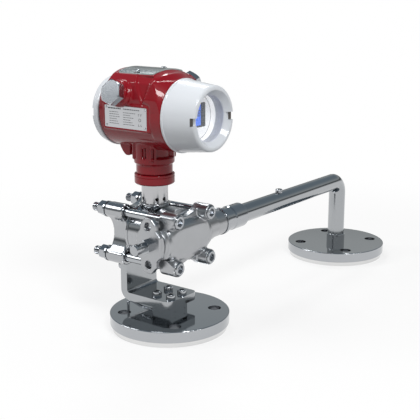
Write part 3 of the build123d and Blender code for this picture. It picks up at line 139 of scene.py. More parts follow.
class Graph:
    """A node tree, and the one method that adds a node to it."""

    def __init__(self, tree):
        self.tree = tree

    def node(self, kind, settings=None, inputs=None, output=0):
        """Adds a node: its settings first, then values or links for its sockets."""
        made = self.tree.nodes.new(kind)
        for label, value in (settings or {}).items():
            if label == "stops":
                set_stops(made.color_ramp.elements, value)
            else:
                setattr(made, label, value)
        for label, value in (inputs or {}).items():
            if isinstance(value, Value):
                self.tree.links.new(value.socket, made.inputs[label])
            else:
                made.inputs[label].default_value = value
        return Value(self, made.outputs[output]) if made.outputs else None


class Finish(Graph):
    """One material: a Principled shader and the nodes that feed it."""

    def __init__(self, name, **sockets):
        self.material = bpy.data.materials.new(name)
        self.material.use_nodes = True
        super().__init__(self.material.node_tree)
        self.shader = self.tree.nodes["Principled BSDF"]
        self.place = self.node("ShaderNodeTexCoord", output="Object")
        for label, value in sockets.items():
            self.shader.inputs[label.replace("_", " ")].default_value = value

    def feed(self, label, value):
        self.tree.links.new(value.socket, self.shader.inputs[label])

    def stretched(self, sx, sy, sz):
        """Object coordinates scaled on each axis."""
        return self.node("ShaderNodeMapping", None, {"Vector": self.place, "Scale": (sx, sy, sz)})

    def noise(self, vector, scale, detail=3.0, rough=0.5):
        return self.node("ShaderNodeTexNoise", None,
                         {"Vector": vector, "Scale": scale, "Detail": detail, "Roughness": rough})

    def mixed(self, factor, first, second):
        """A colour between two, by a number from 0 to 1."""
        return self.node("ShaderNodeMix", {"data_type": "RGBA"},
                         {0: factor, 6: (*first, 1.0), 7: (*second, 1.0)}, output=2)

    def bump(self, height, strength, distance):
        self.feed("Normal", self.node("ShaderNodeBump", None, {
            "Height": height, "Strength": strength, "Distance": distance}))

    def put_on(self, *names):
        for name in names:
            slots = nodes[name].data.materials
            slots.clear()
            slots.append(self.material)


def shaded(colour, share):
    """The same colour, darker."""
    return tuple(share * part for part in colour)


# %% [markdown]
# ## Polished and turned steel
# Bright steel takes nearly all its look from what it mirrors. What gives away
# the machining is a slight change of gloss: rings round the axis of a turned
# flange, long streaks on a drawn tube, a fine grain on a casting.

# %% Steel finishes
X_AXIS, Y_AXIS, Z_AXIS = 0, 1, 2
PALE_TIER_STEEL = (0.74, 0.74, 0.74)
TIER_Z = 6.5 * MM
TIER_EDGE = 0.2 * MM


def ring_distance(finish, centre, axis):
    """Distance from a line along one axis: the root of the squares of the other two offsets."""
    split = finish.node("ShaderNodeSeparateXYZ", None, {"Vector": finish.place})
    first, second = [split.beside(index) - float(centre[index]) for index in range(3) if index != axis]
    return (first * first + second * second).root()


def turned_steel(name, centre, axis, colour=(0.44, 0.455, 0.475), rough=0.10, tier_z=None):
    """Rings about one line: gloss and height vary with the distance from it.

    With tier_z, the steel below that height is paler.
    """
    finish = Finish(name, Metallic=1.0)
    distance = ring_distance(finish, centre, axis)
    rings = finish.node("ShaderNodeTexNoise", {"noise_dimensions": "1D"},
                        {"W": distance, "Scale": 2600.0, "Detail": 3.0, "Roughness": 0.6})
    cloud = finish.noise(finish.place, 26.0)
    if tier_z is None:
        finish.feed("Base Color", finish.mixed(cloud, shaded(colour, 0.90), colour))
    else:
        height = finish.node("ShaderNodeSeparateXYZ", None, {"Vector": finish.place}, output="Z")
        # Below tier_z the base colour turns paler, a band at the foot of the flange.
        low_tier = ((tier_z - height) * (1 / TIER_EDGE)).clamped()
        finish.feed("Base Color", finish.mixed(low_tier, colour, PALE_TIER_STEEL))
    finish.feed("Roughness", rough + 0.06 * (rings - 0.5) + 0.04 * (cloud - 0.5))
    finish.bump(rings, 0.04, 0.00003)
    return finish


def drawn_steel(name, stretch, colour=(0.42, 0.435, 0.45), rough=0.11):
    """Streaks along one direction: noise squeezed across it."""
    finish = Finish(name, Metallic=1.0)
    streaks = finish.noise(finish.stretched(*stretch), 1.0, detail=4.0, rough=0.6)
    cloud = finish.noise(finish.place, 30.0)
    finish.feed("Base Color", finish.mixed(cloud, shaded(colour, 0.90), colour))
    finish.feed("Roughness", rough + 0.07 * (streaks - 0.5) + 0.04 * (cloud - 0.5))
    finish.bump(streaks, 0.03, 0.00004)
    return finish


def cast_steel(name, colour=(0.44, 0.45, 0.465), rough=0.15):
    """Blasted and polished casting: a fine grain and soft waves from the mould."""
    finish = Finish(name, Metallic=1.0)
    grain = finish.noise(finish.place, 1500.0, detail=2.0)
    waves = finish.noise(finish.place, 60.0)
    finish.feed("Base Color", finish.mixed(waves, shaded(colour, 0.88), colour))
    finish.feed("Roughness", rough + 0.06 * (grain - 0.5) + 0.06 * (waves - 0.5))
    finish.bump(grain * 0.3 + waves, 0.07, 0.0001)
    return finish


# %% Put the steels on their parts
WORLD_ORIGIN = (0, 0, 0)
turned_steel("base flange steel", WORLD_ORIGIN, Z_AXIS, rough=0.07, tier_z=TIER_Z).put_on(
    "base_flange", "base_diaphragm")
turned_steel("far flange steel", FAR_AXIS, Z_AXIS, rough=0.07, tier_z=TIER_Z).put_on(
    "remote_flange", "remote_diaphragm")
turned_steel("neck steel", NECK_AXIS, Z_AXIS, colour=(0.52, 0.52, 0.53), rough=0.20).put_on("neck_tube")
turned_steel("sleeve steel", TUBE_AXIS, Y_AXIS, rough=0.14).put_on("tube_sleeve")
turned_steel("vent steel", middle("vent_stem"), Y_AXIS).put_on("vent_body", "vent_stem")
FASTENER = turned_steel("fastener steel", HEAD_AXIS, X_AXIS, rough=0.12)
FASTENER.put_on("flange_washers", "flange_nuts", "bracket_rear_screws", "capillary_gland")
turned_steel("screw steel", WORLD_ORIGIN, Z_AXIS, rough=0.12).put_on(
    "bracket_screws", "fill_plug", "top_plate_screws", "ground_screw", "block_fill_screws",
    "head_lock_screw", "nameplate_rivets", "terminal_screws")
turned_steel("plug steel", HEAD_AXIS, Y_AXIS, colour=(0.48, 0.50, 0.53), rough=0.22).put_on(
    "conduit_plug_front", "conduit_plug_rear")
drawn_steel("bracket steel", (40, 1600, 1600), rough=0.12).put_on("bracket", "seal_block")
drawn_steel("tube steel", (1400, 40, 1400)).put_on("remote_tube", "capillary")
drawn_steel("cover steel", (60, 1800, 60), colour=(0.34, 0.37, 0.37), rough=0.22).put_on("top_plate")
drawn_steel("plate steel", (60, 60, 2200), colour=(0.62, 0.63, 0.65), rough=0.42).put_on("nameplate")
CASTING = cast_steel("flange casting")
SATIN = cast_steel("satin casting", rough=0.30)
cast_steel("cell steel", rough=0.13).put_on("sensor_body", "high_side_membrane", "low_side_membrane")
print("steel finishes:", len(bpy.data.materials))

# %% [markdown]
# ## Paint
# Both paints are thick baked coats: a colour under a clear gloss, with the
# faint orange-peel waviness that sprayed paint has. The clear gloss is the
# shader's coat, so the highlights stay white on the red.

# %% Paint finishes
def baked_paint(name, colour, shade, rough=0.32):
    """Colour under a clear coat: cloudy by a few percent, with fine waves in its gloss and height."""
    finish = Finish(name, Coat_Weight=0.55, Coat_Roughness=0.03, Specular_IOR_Level=0.08)
    peel = finish.noise(finish.place, 420.0, detail=2.0)
    cloud = finish.noise(finish.place, 18.0)
    finish.feed("Base Color", finish.mixed(cloud, shade, colour))
    finish.feed("Roughness", rough + 0.08 * (peel - 0.5))
    finish.bump(peel, 0.06, 0.0002)
    return finish


RED = (0.30, 0.006, 0.014)
RED_SHADE = (0.25, 0.005, 0.012)
WHITE = (0.77, 0.80, 0.84)
WHITE_SHADE = (0.73, 0.765, 0.805)
RED_FINISH = baked_paint("red paint", RED, RED_SHADE)
RED_FINISH.put_on("lock_ring")
baked_paint("white paint", WHITE, WHITE_SHADE).put_on("display_cap", "terminal_cap")

# %% [markdown]
# ## Small finishes: plastics, rubber, glass and the screen
# The window is nearly clear, so a low alpha does the work and the gloss
# comes from the shader. The screen glows a little, as a backlight does; the white dial glows a little too,
# and that glow is painted light.

# %% Plastics, rubber, glass and screen
def moulded(name, colour, rough, grain=900.0, **sockets):
    """A grain too fine to see as dots, in colour, gloss and height."""
    finish = Finish(name, **sockets)
    noise = finish.noise(finish.place, grain, detail=2.0)
    finish.feed("Base Color", finish.mixed(noise, shaded(colour, 0.92), colour))
    finish.feed("Roughness", rough + 0.10 * (noise - 0.5))
    finish.bump(noise, 0.05, 0.00008)
    return finish


# Painted light: the white dial glows by its own emission, brighter than the lamps make it.
moulded("white dial with painted glow", (0.93, 0.93, 0.93), 0.35, Emission_Color=(1, 1, 1, 1),
        Emission_Strength=0.35).put_on("display_bezel")
moulded("black plastic", (0.02, 0.02, 0.022), 0.45).put_on(
    "display_frame", "electronics_module", "terminal_block")
moulded("board lacquer", (0.02, 0.16, 0.06), 0.3).put_on("display_board")
moulded("seal rubber", (0.015, 0.015, 0.016), 0.6).put_on("front_cap_seal", "rear_cap_seal")
moulded("gasket", (0.80, 0.80, 0.78), 0.5).put_on("left_gasket", "right_gasket")
INK = moulded("ink", (0.05, 0.055, 0.065), 0.5)
# Painted shade: a dark finish for thin sheets laid on the shaded floors of the cap's notches.
NOTCH_PAINTED_SHADE = moulded("painted notch shade", (0.06, 0.05, 0.04), 0.4)
moulded("button plastic", (0.30, 0.30, 0.31), 0.45).put_on("zero_button", "span_button")
moulded("ring enamel", (0.50, 0.52, 0.58), 0.35).put_on("window_retainer")
moulded("blue screen", (0.05, 0.16, 0.80), 0.2, Emission_Color=(0.08, 0.25, 1.0, 1.0),
        Emission_Strength=0.5).put_on("display_panel")
glass = Finish("window glass", Base_Color=(0.9, 0.95, 1.0, 1.0), Roughness=0.03, Alpha=0.10)
smudge = glass.noise(glass.place, 60.0)
glass.feed("Roughness", 0.02 + 0.03 * smudge)
glass.put_on("display_window")
print("materials:", len(bpy.data.materials))

# %% [markdown]
# ## Surfaces as grids of points
# Every new piece below is a grid: rows run along a profile and columns run
# round an axis. Numpy works out all the points at once, and one helper joins
# neighbours into squares, closes the poles and turns the faces outwards.

# %% From grids of points to a piece
def grid_faces(rows, columns, first):
    """Squares between neighbouring points; the last column meets the first."""
    number = first + np.arange(rows * columns).reshape(rows, columns)
    beside = np.roll(number, -1, axis=1)
    return np.stack([number[:-1], beside[:-1], beside[1:], number[1:]], axis=-1).reshape(-1, 4)


def finished(mesh, sharp_deg=35.0):
    """Merges doubled points, turns faces outwards and shades all but the sharp edges smooth."""
    work = bmesh.new()
    work.from_mesh(mesh)
    bmesh.ops.remove_doubles(work, verts=work.verts, dist=1e-7)
    bmesh.ops.recalc_face_normals(work, faces=work.faces)
    work.to_mesh(mesh)
    work.free()
    mesh.shade_smooth()
    mesh.set_sharp_from_angle(angle=radians(sharp_deg))


def new_piece(name, mesh, body, finish):
    """An object at the origin that rides on a body and takes its finish from a slot."""
    piece = bpy.data.objects.new(name, mesh)
    bpy.context.scene.collection.objects.link(piece)
    mesh.materials.clear()
    mesh.materials.append(finish.material)
    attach(piece, body)
    print(name, "faces:", len(mesh.polygons))
    return piece


def skin(name, grids, body, finish):
    """One piece from one or more closed grids of shape (rows, columns, 3)."""
    points, faces, count = [], [], 0
    for grid in grids:
        rows, columns = grid.shape[:2]
        faces.append(grid_faces(rows, columns, count))
        points.append(grid.reshape(-1, 3))
        count += rows * columns
    mesh = bpy.data.meshes.new(name)
    mesh.from_pydata(np.concatenate(points).tolist(), [], np.concatenate(faces).tolist())
    finished(mesh)
    return new_piece(name, mesh, body, finish)


# %% [markdown]
# ## The long clamp bolts
# Four M12 socket screws hold the cell between its flanges. The model has
# them as plain rods; here each is one closed surface from the bottom of its
# hexagon socket, over the head and along the shank, to the chamfered end
# with its real thread. The thread is only a radius that depends on how far
# along and how far round a point is, so it costs nothing but rows.

# %% Clamp bolts with sockets and threads
BOLT_R = 6.0 * MM
BOLT_HEAD_R = 9.0 * MM
BOLT_HEAD_H = 12.0 * MM
SOCKET_HALF = 5.0 * MM
SOCKET_DEPTH = 6.0 * MM
SOCKET_EDGE = 0.3 * MM
EDGE = 1.0 * MM
THREAD_PITCH = 1.75 * MM
THREAD_DEPTH = 0.95 * MM
THREAD_SPAN = 32.0 * MM
ROWS_A_TURN = 8
ROUND = np.linspace(0.0, 2 * pi, 60, endpoint=False)


def hexagon(half_width, angle):
    """Radius of a hexagon: half its width over the cosine of the angle from the nearest flat."""
    sector = pi / 3
    return half_width / np.cos((angle + sector / 2) % sector - sector / 2)


def thread_radius(x, angle, tip):
    """Radius of a right-hand thread: a ridge that climbs one pitch a turn, cut back near the tip."""
    phase = (x / THREAD_PITCH - angle / (2 * pi)) % 1.0
    ridge = np.clip(1.6 * np.abs(2 * phase - 1) - 0.3, 0.0, 1.0)
    radius = BOLT_R - THREAD_DEPTH * (1 - ridge)
    return np.minimum(radius, BOLT_R - 1.5 * MM + (x - tip))


def round_grid(rings):
    """Rings of (place on the axis, radius at every angle) as three arrays: along, and two across."""
    along = np.array([place for place, radius in rings])[:, None] + 0 * ROUND
    radii = np.array([radius for place, radius in rings])
    return along, radii * np.cos(ROUND), radii * np.sin(ROUND)


def bolt_grid(face_x, tip_x, y, z):
    """Rings along X from the bottom of the socket, over the head and down the shank to the tip."""
    floor_x, seat_x = face_x - SOCKET_DEPTH, face_x - BOLT_HEAD_H
    socket, plain = hexagon(SOCKET_HALF, ROUND), np.ones_like(ROUND)
    rings = [(floor_x, 0 * plain), (floor_x, socket), (face_x - SOCKET_EDGE, socket),
             (face_x, socket + 0.4 * MM), (face_x, (BOLT_HEAD_R - EDGE) * plain),
             (face_x - EDGE, BOLT_HEAD_R * plain), (seat_x, BOLT_HEAD_R * plain),
             (seat_x, BOLT_R * plain), (tip_x + THREAD_SPAN + EDGE, BOLT_R * plain)]
    steps = int(ROWS_A_TURN * THREAD_SPAN / THREAD_PITCH)
    for x in np.linspace(tip_x + THREAD_SPAN, tip_x, steps):
        rings.append((x, thread_radius(x, ROUND, tip_x)))
    rings.append((tip_x, 0 * plain))
    along, across, up = round_grid(rings)
    return np.stack([along, y + across, z + up], axis=-1)


low, high = low_high("flange_bolts")
bolt_y = (high[1] - low[1]) / 2 - BOLT_HEAD_R
bolt_z = (high[2] - low[2]) / 2 - BOLT_HEAD_R
centre_y, centre_z = (low[1] + high[1]) / 2, (low[2] + high[2]) / 2
grids = [bolt_grid(high[0], low[0], centre_y + side * bolt_y, centre_z + rise * bolt_z)
         for side in (-1, 1) for rise in (-1, 1)]
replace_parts(skin("clamp_bolts", grids, "stand", FASTENER), "flange_bolts")

# %% [markdown]
# ## Cap screws on the bracket
# Four low cap screws hold the bracket on the seal block. They are the same
# kind of surface, upright: from the floor of the hexagon socket, over the
# rounded head, down the shank. The model's plain heads are higher, so the
# seat under the head is worked out from them.

# %% Bracket screws with sockets
M8_R = 4.0 * MM
M8_HEAD_R = 6.5 * MM
M8_HEAD_H = 5.0 * MM
PLAIN_HEAD_H = 8.0 * MM
M8_SOCKET_HALF = 3.0 * MM
M8_SOCKET_DEPTH = 3.0 * MM
M8_EDGE = 1.0 * MM


def cap_screw_grid(x, y, seat, bottom):
    """Rings up Z from the socket's floor, over the head and down to the shank's end."""
    top = seat + M8_HEAD_H
    floor = top - M8_SOCKET_DEPTH
    socket, plain = hexagon(M8_SOCKET_HALF, ROUND), np.ones_like(ROUND)
    rings = [(floor, 0 * plain), (floor, socket), (top - SOCKET_EDGE, socket),
             (top, socket + SOCKET_EDGE), (top, (M8_HEAD_R - M8_EDGE) * plain),
             (top - M8_EDGE / 4, (M8_HEAD_R - M8_EDGE / 3) * plain),
             (top - M8_EDGE, M8_HEAD_R * plain), (seat, M8_HEAD_R * plain), (seat, M8_R * plain),
             (bottom + M8_EDGE, M8_R * plain), (bottom, (M8_R - M8_EDGE) * plain), (bottom, 0 * plain)]
    up, across, along = round_grid(rings)
    return np.stack([x + across, y + along, up], axis=-1)


low, high = low_high("bracket_screws")
reach = (high - low) / 2 - M8_HEAD_R
centre = (high + low) / 2
seat_z = high[2] - PLAIN_HEAD_H
grids = [cap_screw_grid(centre[0] + side * reach[0], centre[1] + end * reach[1], seat_z, low[2])
         for side in (-1, 1) for end in (-1, 1)]
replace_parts(skin("bracket_cap_screws", grids, "stand", FASTENER), "bracket_screws")

# %% [markdown]
# ## Castings with melted edges
# Sand and investment castings have no sharp inner corners: metal flows
# round them and blasting takes the rest. A copy of the plain solid is
# turned into small voxels and then averaged with its neighbours a few
# times, which rounds each corner by about the same small radius.

# %% A soft skin over a casting
def cast_skin(name, node, body, finish, voxel, passes, cores=()):
    """A copy of a node, and closed grids melted into it, as an even net of squares.

    Each point of the net then moves towards its neighbours' mean a few times.
    """
    mesh = nodes[node].data.copy()
    work = bmesh.new()
    work.from_mesh(mesh)
    for core in cores:
        rows, columns = core.shape[:2]
        points = [work.verts.new(point) for point in core.reshape(-1, 3).tolist()]
        for face in grid_faces(rows, columns, 0).tolist():
            work.faces.new([points[number] for number in face])
    bmesh.ops.remove_doubles(work, verts=work.verts, dist=1e-6)
    bmesh.ops.recalc_face_normals(work, faces=work.faces)
    work.to_mesh(mesh)
    work.free()
    rough = bpy.data.objects.new(name + "_rough", mesh)
    bpy.context.scene.collection.objects.link(rough)
    remesh = rough.modifiers.new("net", "REMESH")
    remesh.mode = "VOXEL"
    remesh.voxel_size = voxel
    smooth = rough.modifiers.new("soften", "SMOOTH")
    smooth.factor = 0.5
    smooth.iterations = passes
    graph = bpy.context.evaluated_depsgraph_get()
    soft = bpy.data.meshes.new_from_object(rough.evaluated_get(graph))
    bpy.data.objects.remove(rough)
    soft.name = name
    soft.shade_smooth()
    piece = new_piece(name, soft, body, finish)
    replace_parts(piece, node)
    return piece


# %% [markdown]
# ## Three castings, one with a round body
# The port's casting swells into a body with soft corners behind its plate.
# That body is a superellipse carried along X: with a power of 2 it would be
# an ellipse, and a higher power fills the corners. It melts into the copy.

# %% The body of the port and the three skins
def rounded_block(x0, x1, y_half, z_low, z_high, edge, power):
    """A block along X whose section is a superellipse: |y/a|^n + |z/b|^n = 1, with a rounded far end."""
    centre_z, z_half = (z_low + z_high) / 2, (z_high - z_low) / 2
    turn = np.linspace(0.0, 2 * pi, 96, endpoint=False)
    ring_y = np.sign(np.cos(turn)) * np.abs(np.cos(turn)) ** (2 / power)
    ring_z = np.sign(np.sin(turn)) * np.abs(np.sin(turn)) ** (2 / power)
    bend = np.linspace(0.0, pi / 2, 7)
    x = np.concatenate([[x0, x0], x1 - edge + edge * np.sin(bend), [x1]])
    inset = np.concatenate([[0, 0], edge * (1 - np.cos(bend)), [0]])
    shown = np.array([0.0] + [1.0] * (len(x) - 2) + [0.0])
    y = shown[:, None] * (y_half - inset)[:, None] * ring_y
    z = shown[:, None] * (z_half - inset)[:, None] * ring_z + centre_z
    return np.stack([x[:, None] + 0 * turn, y, z], axis=-1)


FINE_NET, HEAD_NET = 1.0 * MM, 1.15 * MM
BODY_FROM_X, BODY_TO_X = 14 * MM, 39.5 * MM
BODY_HALF_Y = 46 * MM
BODY_BELOW, BODY_ABOVE = 28 * MM, 27 * MM
BODY_EDGE, BODY_POWER = 12 * MM, 4.0
PORT_Z = middle("flange_bolts")[2]
body = rounded_block(BODY_FROM_X, BODY_TO_X, BODY_HALF_Y, PORT_Z - BODY_BELOW, PORT_Z + BODY_ABOVE,
                     BODY_EDGE, BODY_POWER)
port = cast_skin("port_casting", "right_flange", "stand", SATIN, FINE_NET, 7, [body])
cast_skin("clamp_casting", "left_flange", "stand", CASTING, FINE_NET, 4)
head = cast_skin("head_casting", "head_housing", "head", RED_FINISH, HEAD_NET, 3)

# %% [markdown]
# ## Pushing a casting's points
# A form too soft for sharp construction can be pushed into the net: a mask
# between 0 and 1 says where, and a distance says how far. Masks are smooth
# steps multiplied together, worked out for all points at once.

# %% Smooth steps, and points in and out of a mesh
def ramp(value, width):
    """Smooth step from 0 to 1 as value runs from 0 to width."""
    share = np.clip(value / width, 0.0, 1.0)
    return share * share * (3 - 2 * share)


def between(value, low, high, fade_in, fade_out):
    """1 inside a range, and 0 outside it, with a smooth step at each end."""
    return ramp(value - low, fade_in) * ramp(high - value, fade_out)


def read_points(mesh):
    """All points of a mesh as rows of three."""
    flat = np.empty(len(mesh.vertices) * 3)
    mesh.vertices.foreach_get("co", flat)
    return flat.reshape(-1, 3)


def write_points(mesh, points):
    """Puts moved points back, in the same order."""
    mesh.vertices.foreach_set("co", points.ravel())
    mesh.update()


# %% [markdown]
# ## The modelled shoulders of the head
# On the real casting the flank beside the conduit boss falls into a dark
# wedge that ends at a slanted ridge, the boss stays clear of the name plate,
# the crown dips beside the display cap, slots part the ribs of the collar,
# and the earth lug slopes. The functions work in millimetres about the
# head's own axis, with +X towards the display.

# %% The wedge, the crown and the boss
BOSS_TILT = radians(18)
BOSS_WAY = np.array([0.0, -np.cos(BOSS_TILT), np.sin(BOSS_TILT)])
BOSS_ROOT = np.array([-42.0, -63.0, 32.0]) - 9 * BOSS_WAY
SHELL_R = 42.5
WEDGE_DEPTH, WEDGE_SHALLOWEST = 4.6, 0.4
WEDGE_IN_Y, WEDGE_IN_Z = 0.94, -0.33
WEDGE_LOW_Z, WEDGE_HIGH_Z = 12, 53
LEAN_FROM_Z = 14
LEFT_X, LEFT_LEAN = -4, -0.53
RIDGE_X, RIDGE_LEAN = -3, 0.24
CROWN_FROM_X, CROWN_SLOPE, CROWN_DROP = 3.5, 0.45, 4.5
BOSS_GAP = 4.5
TINY = 1e-6


def from_boss(x, y, z):
    """Place along the conduit boss, the offset across it, and that offset's length."""
    offset = np.stack([x, y, z], axis=-1) - BOSS_ROOT
    along = offset @ BOSS_WAY
    across = offset - along[:, None] * BOSS_WAY
    return along, across, np.linalg.norm(across, axis=1)


def wedge_depth(x, y, z, boss_r):
    """From a shallow left line to full depth at the ridge; both lines lean with height.

    The mask keeps to the near flank, off the boss and off the walls inside the shell.
    """
    left_x = LEFT_X + LEFT_LEAN * (z - LEAN_FROM_Z)
    ridge_x = RIDGE_X + RIDGE_LEAN * (z - LEAN_FROM_Z)
    mask = between(x, left_x, ridge_x, 4, 1.6) * between(z, WEDGE_LOW_Z, WEDGE_HIGH_Z, 8, 3)
    mask = mask * ramp(-20 - y, 4) * ramp(boss_r - 18, 4) * ramp(np.hypot(y, z) - SHELL_R, 1.5)
    share = np.clip((x - left_x) / (ridge_x - left_x + TINY), 0, 1)
    return WEDGE_DEPTH * mask * (WEDGE_SHALLOWEST + (1 - WEDGE_SHALLOWEST) * share)


def crown_dip(x, z):
    """A slope down towards the display cap, on the crown only."""
    return np.clip(CROWN_SLOPE * (x - CROWN_FROM_X), 0, CROWN_DROP) * ramp(z - 44, 8)


def boss_pull(along, across, boss_r):
    """Towards the boss's axis, on its lower half, by the square of how far down a point looks."""
    down = np.clip(-across[:, 2] / (boss_r + TINY), 0, 1) ** 2
    pull = BOSS_GAP * down * ramp(along + 26, 6) * between(boss_r, 11, 27, 3, 6)
    return across / (boss_r + TINY)[:, None] * pull[:, None]


# %% The collar, the lug, and all pushes in turn
COLLAR_SLOTS = ((-88, -82), (-79, -73), (-58, -50), (-44, 20))
SLOT_DEPTH, SLOT_LOW_Z, SLOT_HIGH_Z = 5.0, -58.5, -43
COLLAR_INNER_R, COLLAR_OUTER_R = 24, 31
LUG_SLOPE, LUG_TOP_Z, LUG_FOOT_Z, LUG_FRONT_X, LUG_LENGTH = 0.65, -46, -62, -49, 18


def collar_sink(x, y, z):
    """Towards the neck's axis, inside slots given by their first and last angle in degrees."""
    out_x, out_y = x - NECK_AXIS[0] / MM, y - NECK_AXIS[1] / MM
    radius = np.hypot(out_x, out_y)
    angle = np.degrees(np.arctan2(out_y, out_x))
    slots = sum(between(angle, first, last, 1.5, 1.5) for first, last in COLLAR_SLOTS)
    ribs = between(z, SLOT_LOW_Z, SLOT_HIGH_Z, 0.8, 3) * between(radius, COLLAR_INNER_R, COLLAR_OUTER_R, 2, 2)
    sunk = SLOT_DEPTH * slots * ribs
    return out_x / radius * sunk, out_y / radius * sunk


def lug_shift(x, z):
    """Along X, more the lower and the further back a point of the earth lug lies."""
    below = np.clip(LUG_TOP_Z - z, 0, 14)
    behind = np.clip((LUG_FRONT_X - x) / LUG_LENGTH, 0, 1)
    return LUG_SLOPE * below * behind * (z > LUG_FOOT_Z)


def shaped_head(points):
    """All pushes in turn: in about the head's axis and in millimetres, and out again in metres."""
    x, y, z = (points / MM).T
    z = z - HEAD_AXIS[2] / MM
    along, across, boss_r = from_boss(x, y, z)
    depth = wedge_depth(x, y, z, boss_r)
    y, z = y + WEDGE_IN_Y * depth, z + WEDGE_IN_Z * depth
    z = z - crown_dip(x, z)
    pull_x, pull_y, pull_z = boss_pull(along, across, boss_r).T
    x, y, z = x - pull_x, y - pull_y, z - pull_z
    sink_x, sink_y = collar_sink(x, y, z)
    x, y = x - sink_x, y - sink_y
    x = x + lug_shift(x, z)
    return np.stack([x, y, z + HEAD_AXIS[2] / MM], axis=-1) * MM


write_points(head.data, shaped_head(read_points(head.data)))
print("head points moved:", len(head.data.vertices))

# %% [markdown]
# ## The cone and the groove of the port
# Towards the sleeve the casting narrows faster than a plain cone, and a
# groove runs round it behind the eight-sided pad. Both only scale a point's
# distance from the port's own line.

# %% A slimmer cone and a groove
CONE_Y = (46, 50, 74, 95)
CONE_R = (27.0, 23.3, 18.9, 18.5)
GROOVE_FROM_Y, GROOVE_TO_Y = -50.5, -43.5
GROOVE_MOUTH_R, GROOVE_FLOOR_R = 19.5, 20.5
BORE_WALL_R = 14


def shaped_port(points):
    """Distance from the port's line times new radius over plain radius; the bore inside stays."""
    x, y, z = (points / MM).T
    out_x, out_z = x - TUBE_AXIS[0] / MM, z - PORT_Z / MM
    radius = np.hypot(out_x, out_z) + TINY
    plain = np.interp(y, [CONE_Y[0], CONE_Y[-1]], [CONE_R[0], CONE_R[-1]])
    scale = np.where(radius > BORE_WALL_R, np.interp(y, CONE_Y, CONE_R) / plain, 1.0)
    groove = between(y, GROOVE_FROM_Y, GROOVE_TO_Y, 1.0, 2.0) * ramp(radius - GROOVE_MOUTH_R, 1.0)
    scale = scale * (1 - groove * (1 - GROOVE_FLOOR_R / radius))
    return np.stack([TUBE_AXIS[0] / MM + out_x * scale, y, PORT_Z / MM + out_z * scale], axis=-1) * MM


write_points(port.data, shaped_port(read_points(port.data)))
print("port points moved:", len(port.data.vertices))

# %% [markdown]
# ## Printing on the name plate
# The real plate carries a printed table. Here it is only plain rules and
# short bars in place of words, laid out in the same columns, as a film of
# ink that stands a few hundredths of a millimetre off the plate.

# %% Rules and bars of ink
INK_T = 0.04 * MM
WORD_MM = (1.6, 4.6)
WORD_GAP = 0.7 * MM
SHORTEST = 1.5 * MM


def ink_boxes(rectangles, face_y):
    """Thin boxes over a plate that faces -Y, from rows of (x0, x1, z0, z1)."""
    x0, x1, z0, z1 = np.array(rectangles, float).T
    corners = []
    for y in (face_y - INK_T, face_y + INK_T):
        for x, z in ((x0, z0), (x1, z0), (x1, z1), (x0, z1)):
            corners.append(np.stack([x, np.full_like(x, y), z], axis=-1))
    points = np.stack(corners, axis=1).reshape(-1, 3)
    box = np.array([(0, 1, 2, 3), (7, 6, 5, 4), (4, 5, 1, 0), (5, 6, 2, 1), (6, 7, 3, 2), (7, 4, 0, 3)])
    faces = (box[None] + 8 * np.arange(len(rectangles))[:, None, None]).reshape(-1, 4)
    return points, faces


def word_bars(rng, x0, x1, z, height):
    """A line of words as bars of uneven length with gaps between them."""
    bars, x = [], x0
    while x < x1 - SHORTEST:
        length = min(rng.uniform(*WORD_MM) * MM, x1 - x)
        bars.append((x, x + length, z - height / 2, z + height / 2))
        x += length + WORD_GAP
    return bars


# %% Lay the plate out in two columns
HEADING_DROP = 3.6 * MM
HEADINGS_MM = ((6, 28, 1.6), (32, 62, 1.1))
COLUMNS_MM = ((8, (20, 27)), (32, (44, 53)))
LINE_DROP, LINE_PITCH, LINES = 8.2 * MM, 3.0 * MM, 6
LINE_H = 0.7 * MM
SIGN_X, SIGN_PITCH = 58 * MM, 4 * MM
SIGN_DROPS = (9.5 * MM, 22.5 * MM)


def sign_bars(x, z, row):
    """A plain stroke with a short arm: at its top in the first row, at its foot in the second."""
    arm_z = z + (0.8 - 2.2 * row) * MM
    return [(x, x + 0.6 * MM, z - 1.4 * MM, z + 1.4 * MM),
            (x + 0.6 * MM, x + 2.0 * MM, arm_z, arm_z + 0.6 * MM)]


plate_low, plate_high = low_high("nameplate")
rng = np.random.default_rng(7)
left, top, plate_face = plate_low[0], plate_high[2], plate_low[1]
bars = []
for start, end, height in HEADINGS_MM:
    bars += word_bars(rng, left + start * MM, left + end * MM, top - HEADING_DROP, height * MM)
for line in range(LINES):
    z = top - LINE_DROP - line * LINE_PITCH
    for start, ends in COLUMNS_MM:
        bars += word_bars(rng, left + start * MM, left + rng.uniform(*ends) * MM, z, LINE_H)
for row, drop in enumerate(SIGN_DROPS):
    for column in range(2):
        bars += sign_bars(left + SIGN_X + column * SIGN_PITCH, top - drop, row)
points, faces = ink_boxes(bars, plate_face)
ink_mesh = bpy.data.meshes.new("plate_printing")
ink_mesh.from_pydata(points.tolist(), [], faces.tolist())
finished(ink_mesh)
new_piece("plate_printing", ink_mesh, "head", INK)

# %% [markdown]
# ## A ring on the plate
# A plain ring stands among the marks of the plate. It is a flat band: four
# rims round an axis, joined into a closed surface.

# %% A thin ring
RING_X, RING_DROP = 60.5 * MM, 15.8 * MM
RING_INNER, RING_OUTER = 1.5 * MM, 2.1 * MM


def band(inner, outer, half):
    """A flat ring about an axis: how far along it, and two places across, for four rims and the first."""
    radii = np.array([inner, outer, outer, inner, inner])[:, None]
    along = np.array([-half, -half, half, half, -half])[:, None] + 0 * ROUND
    return along, radii * np.cos(ROUND), radii * np.sin(ROUND)


along, across, up = band(RING_INNER, RING_OUTER, INK_T)
plate_ring = np.stack([left + RING_X + across, plate_face + along, top - RING_DROP + up], axis=-1)
skin("plate_ring_mark", [plate_ring], "head", INK)
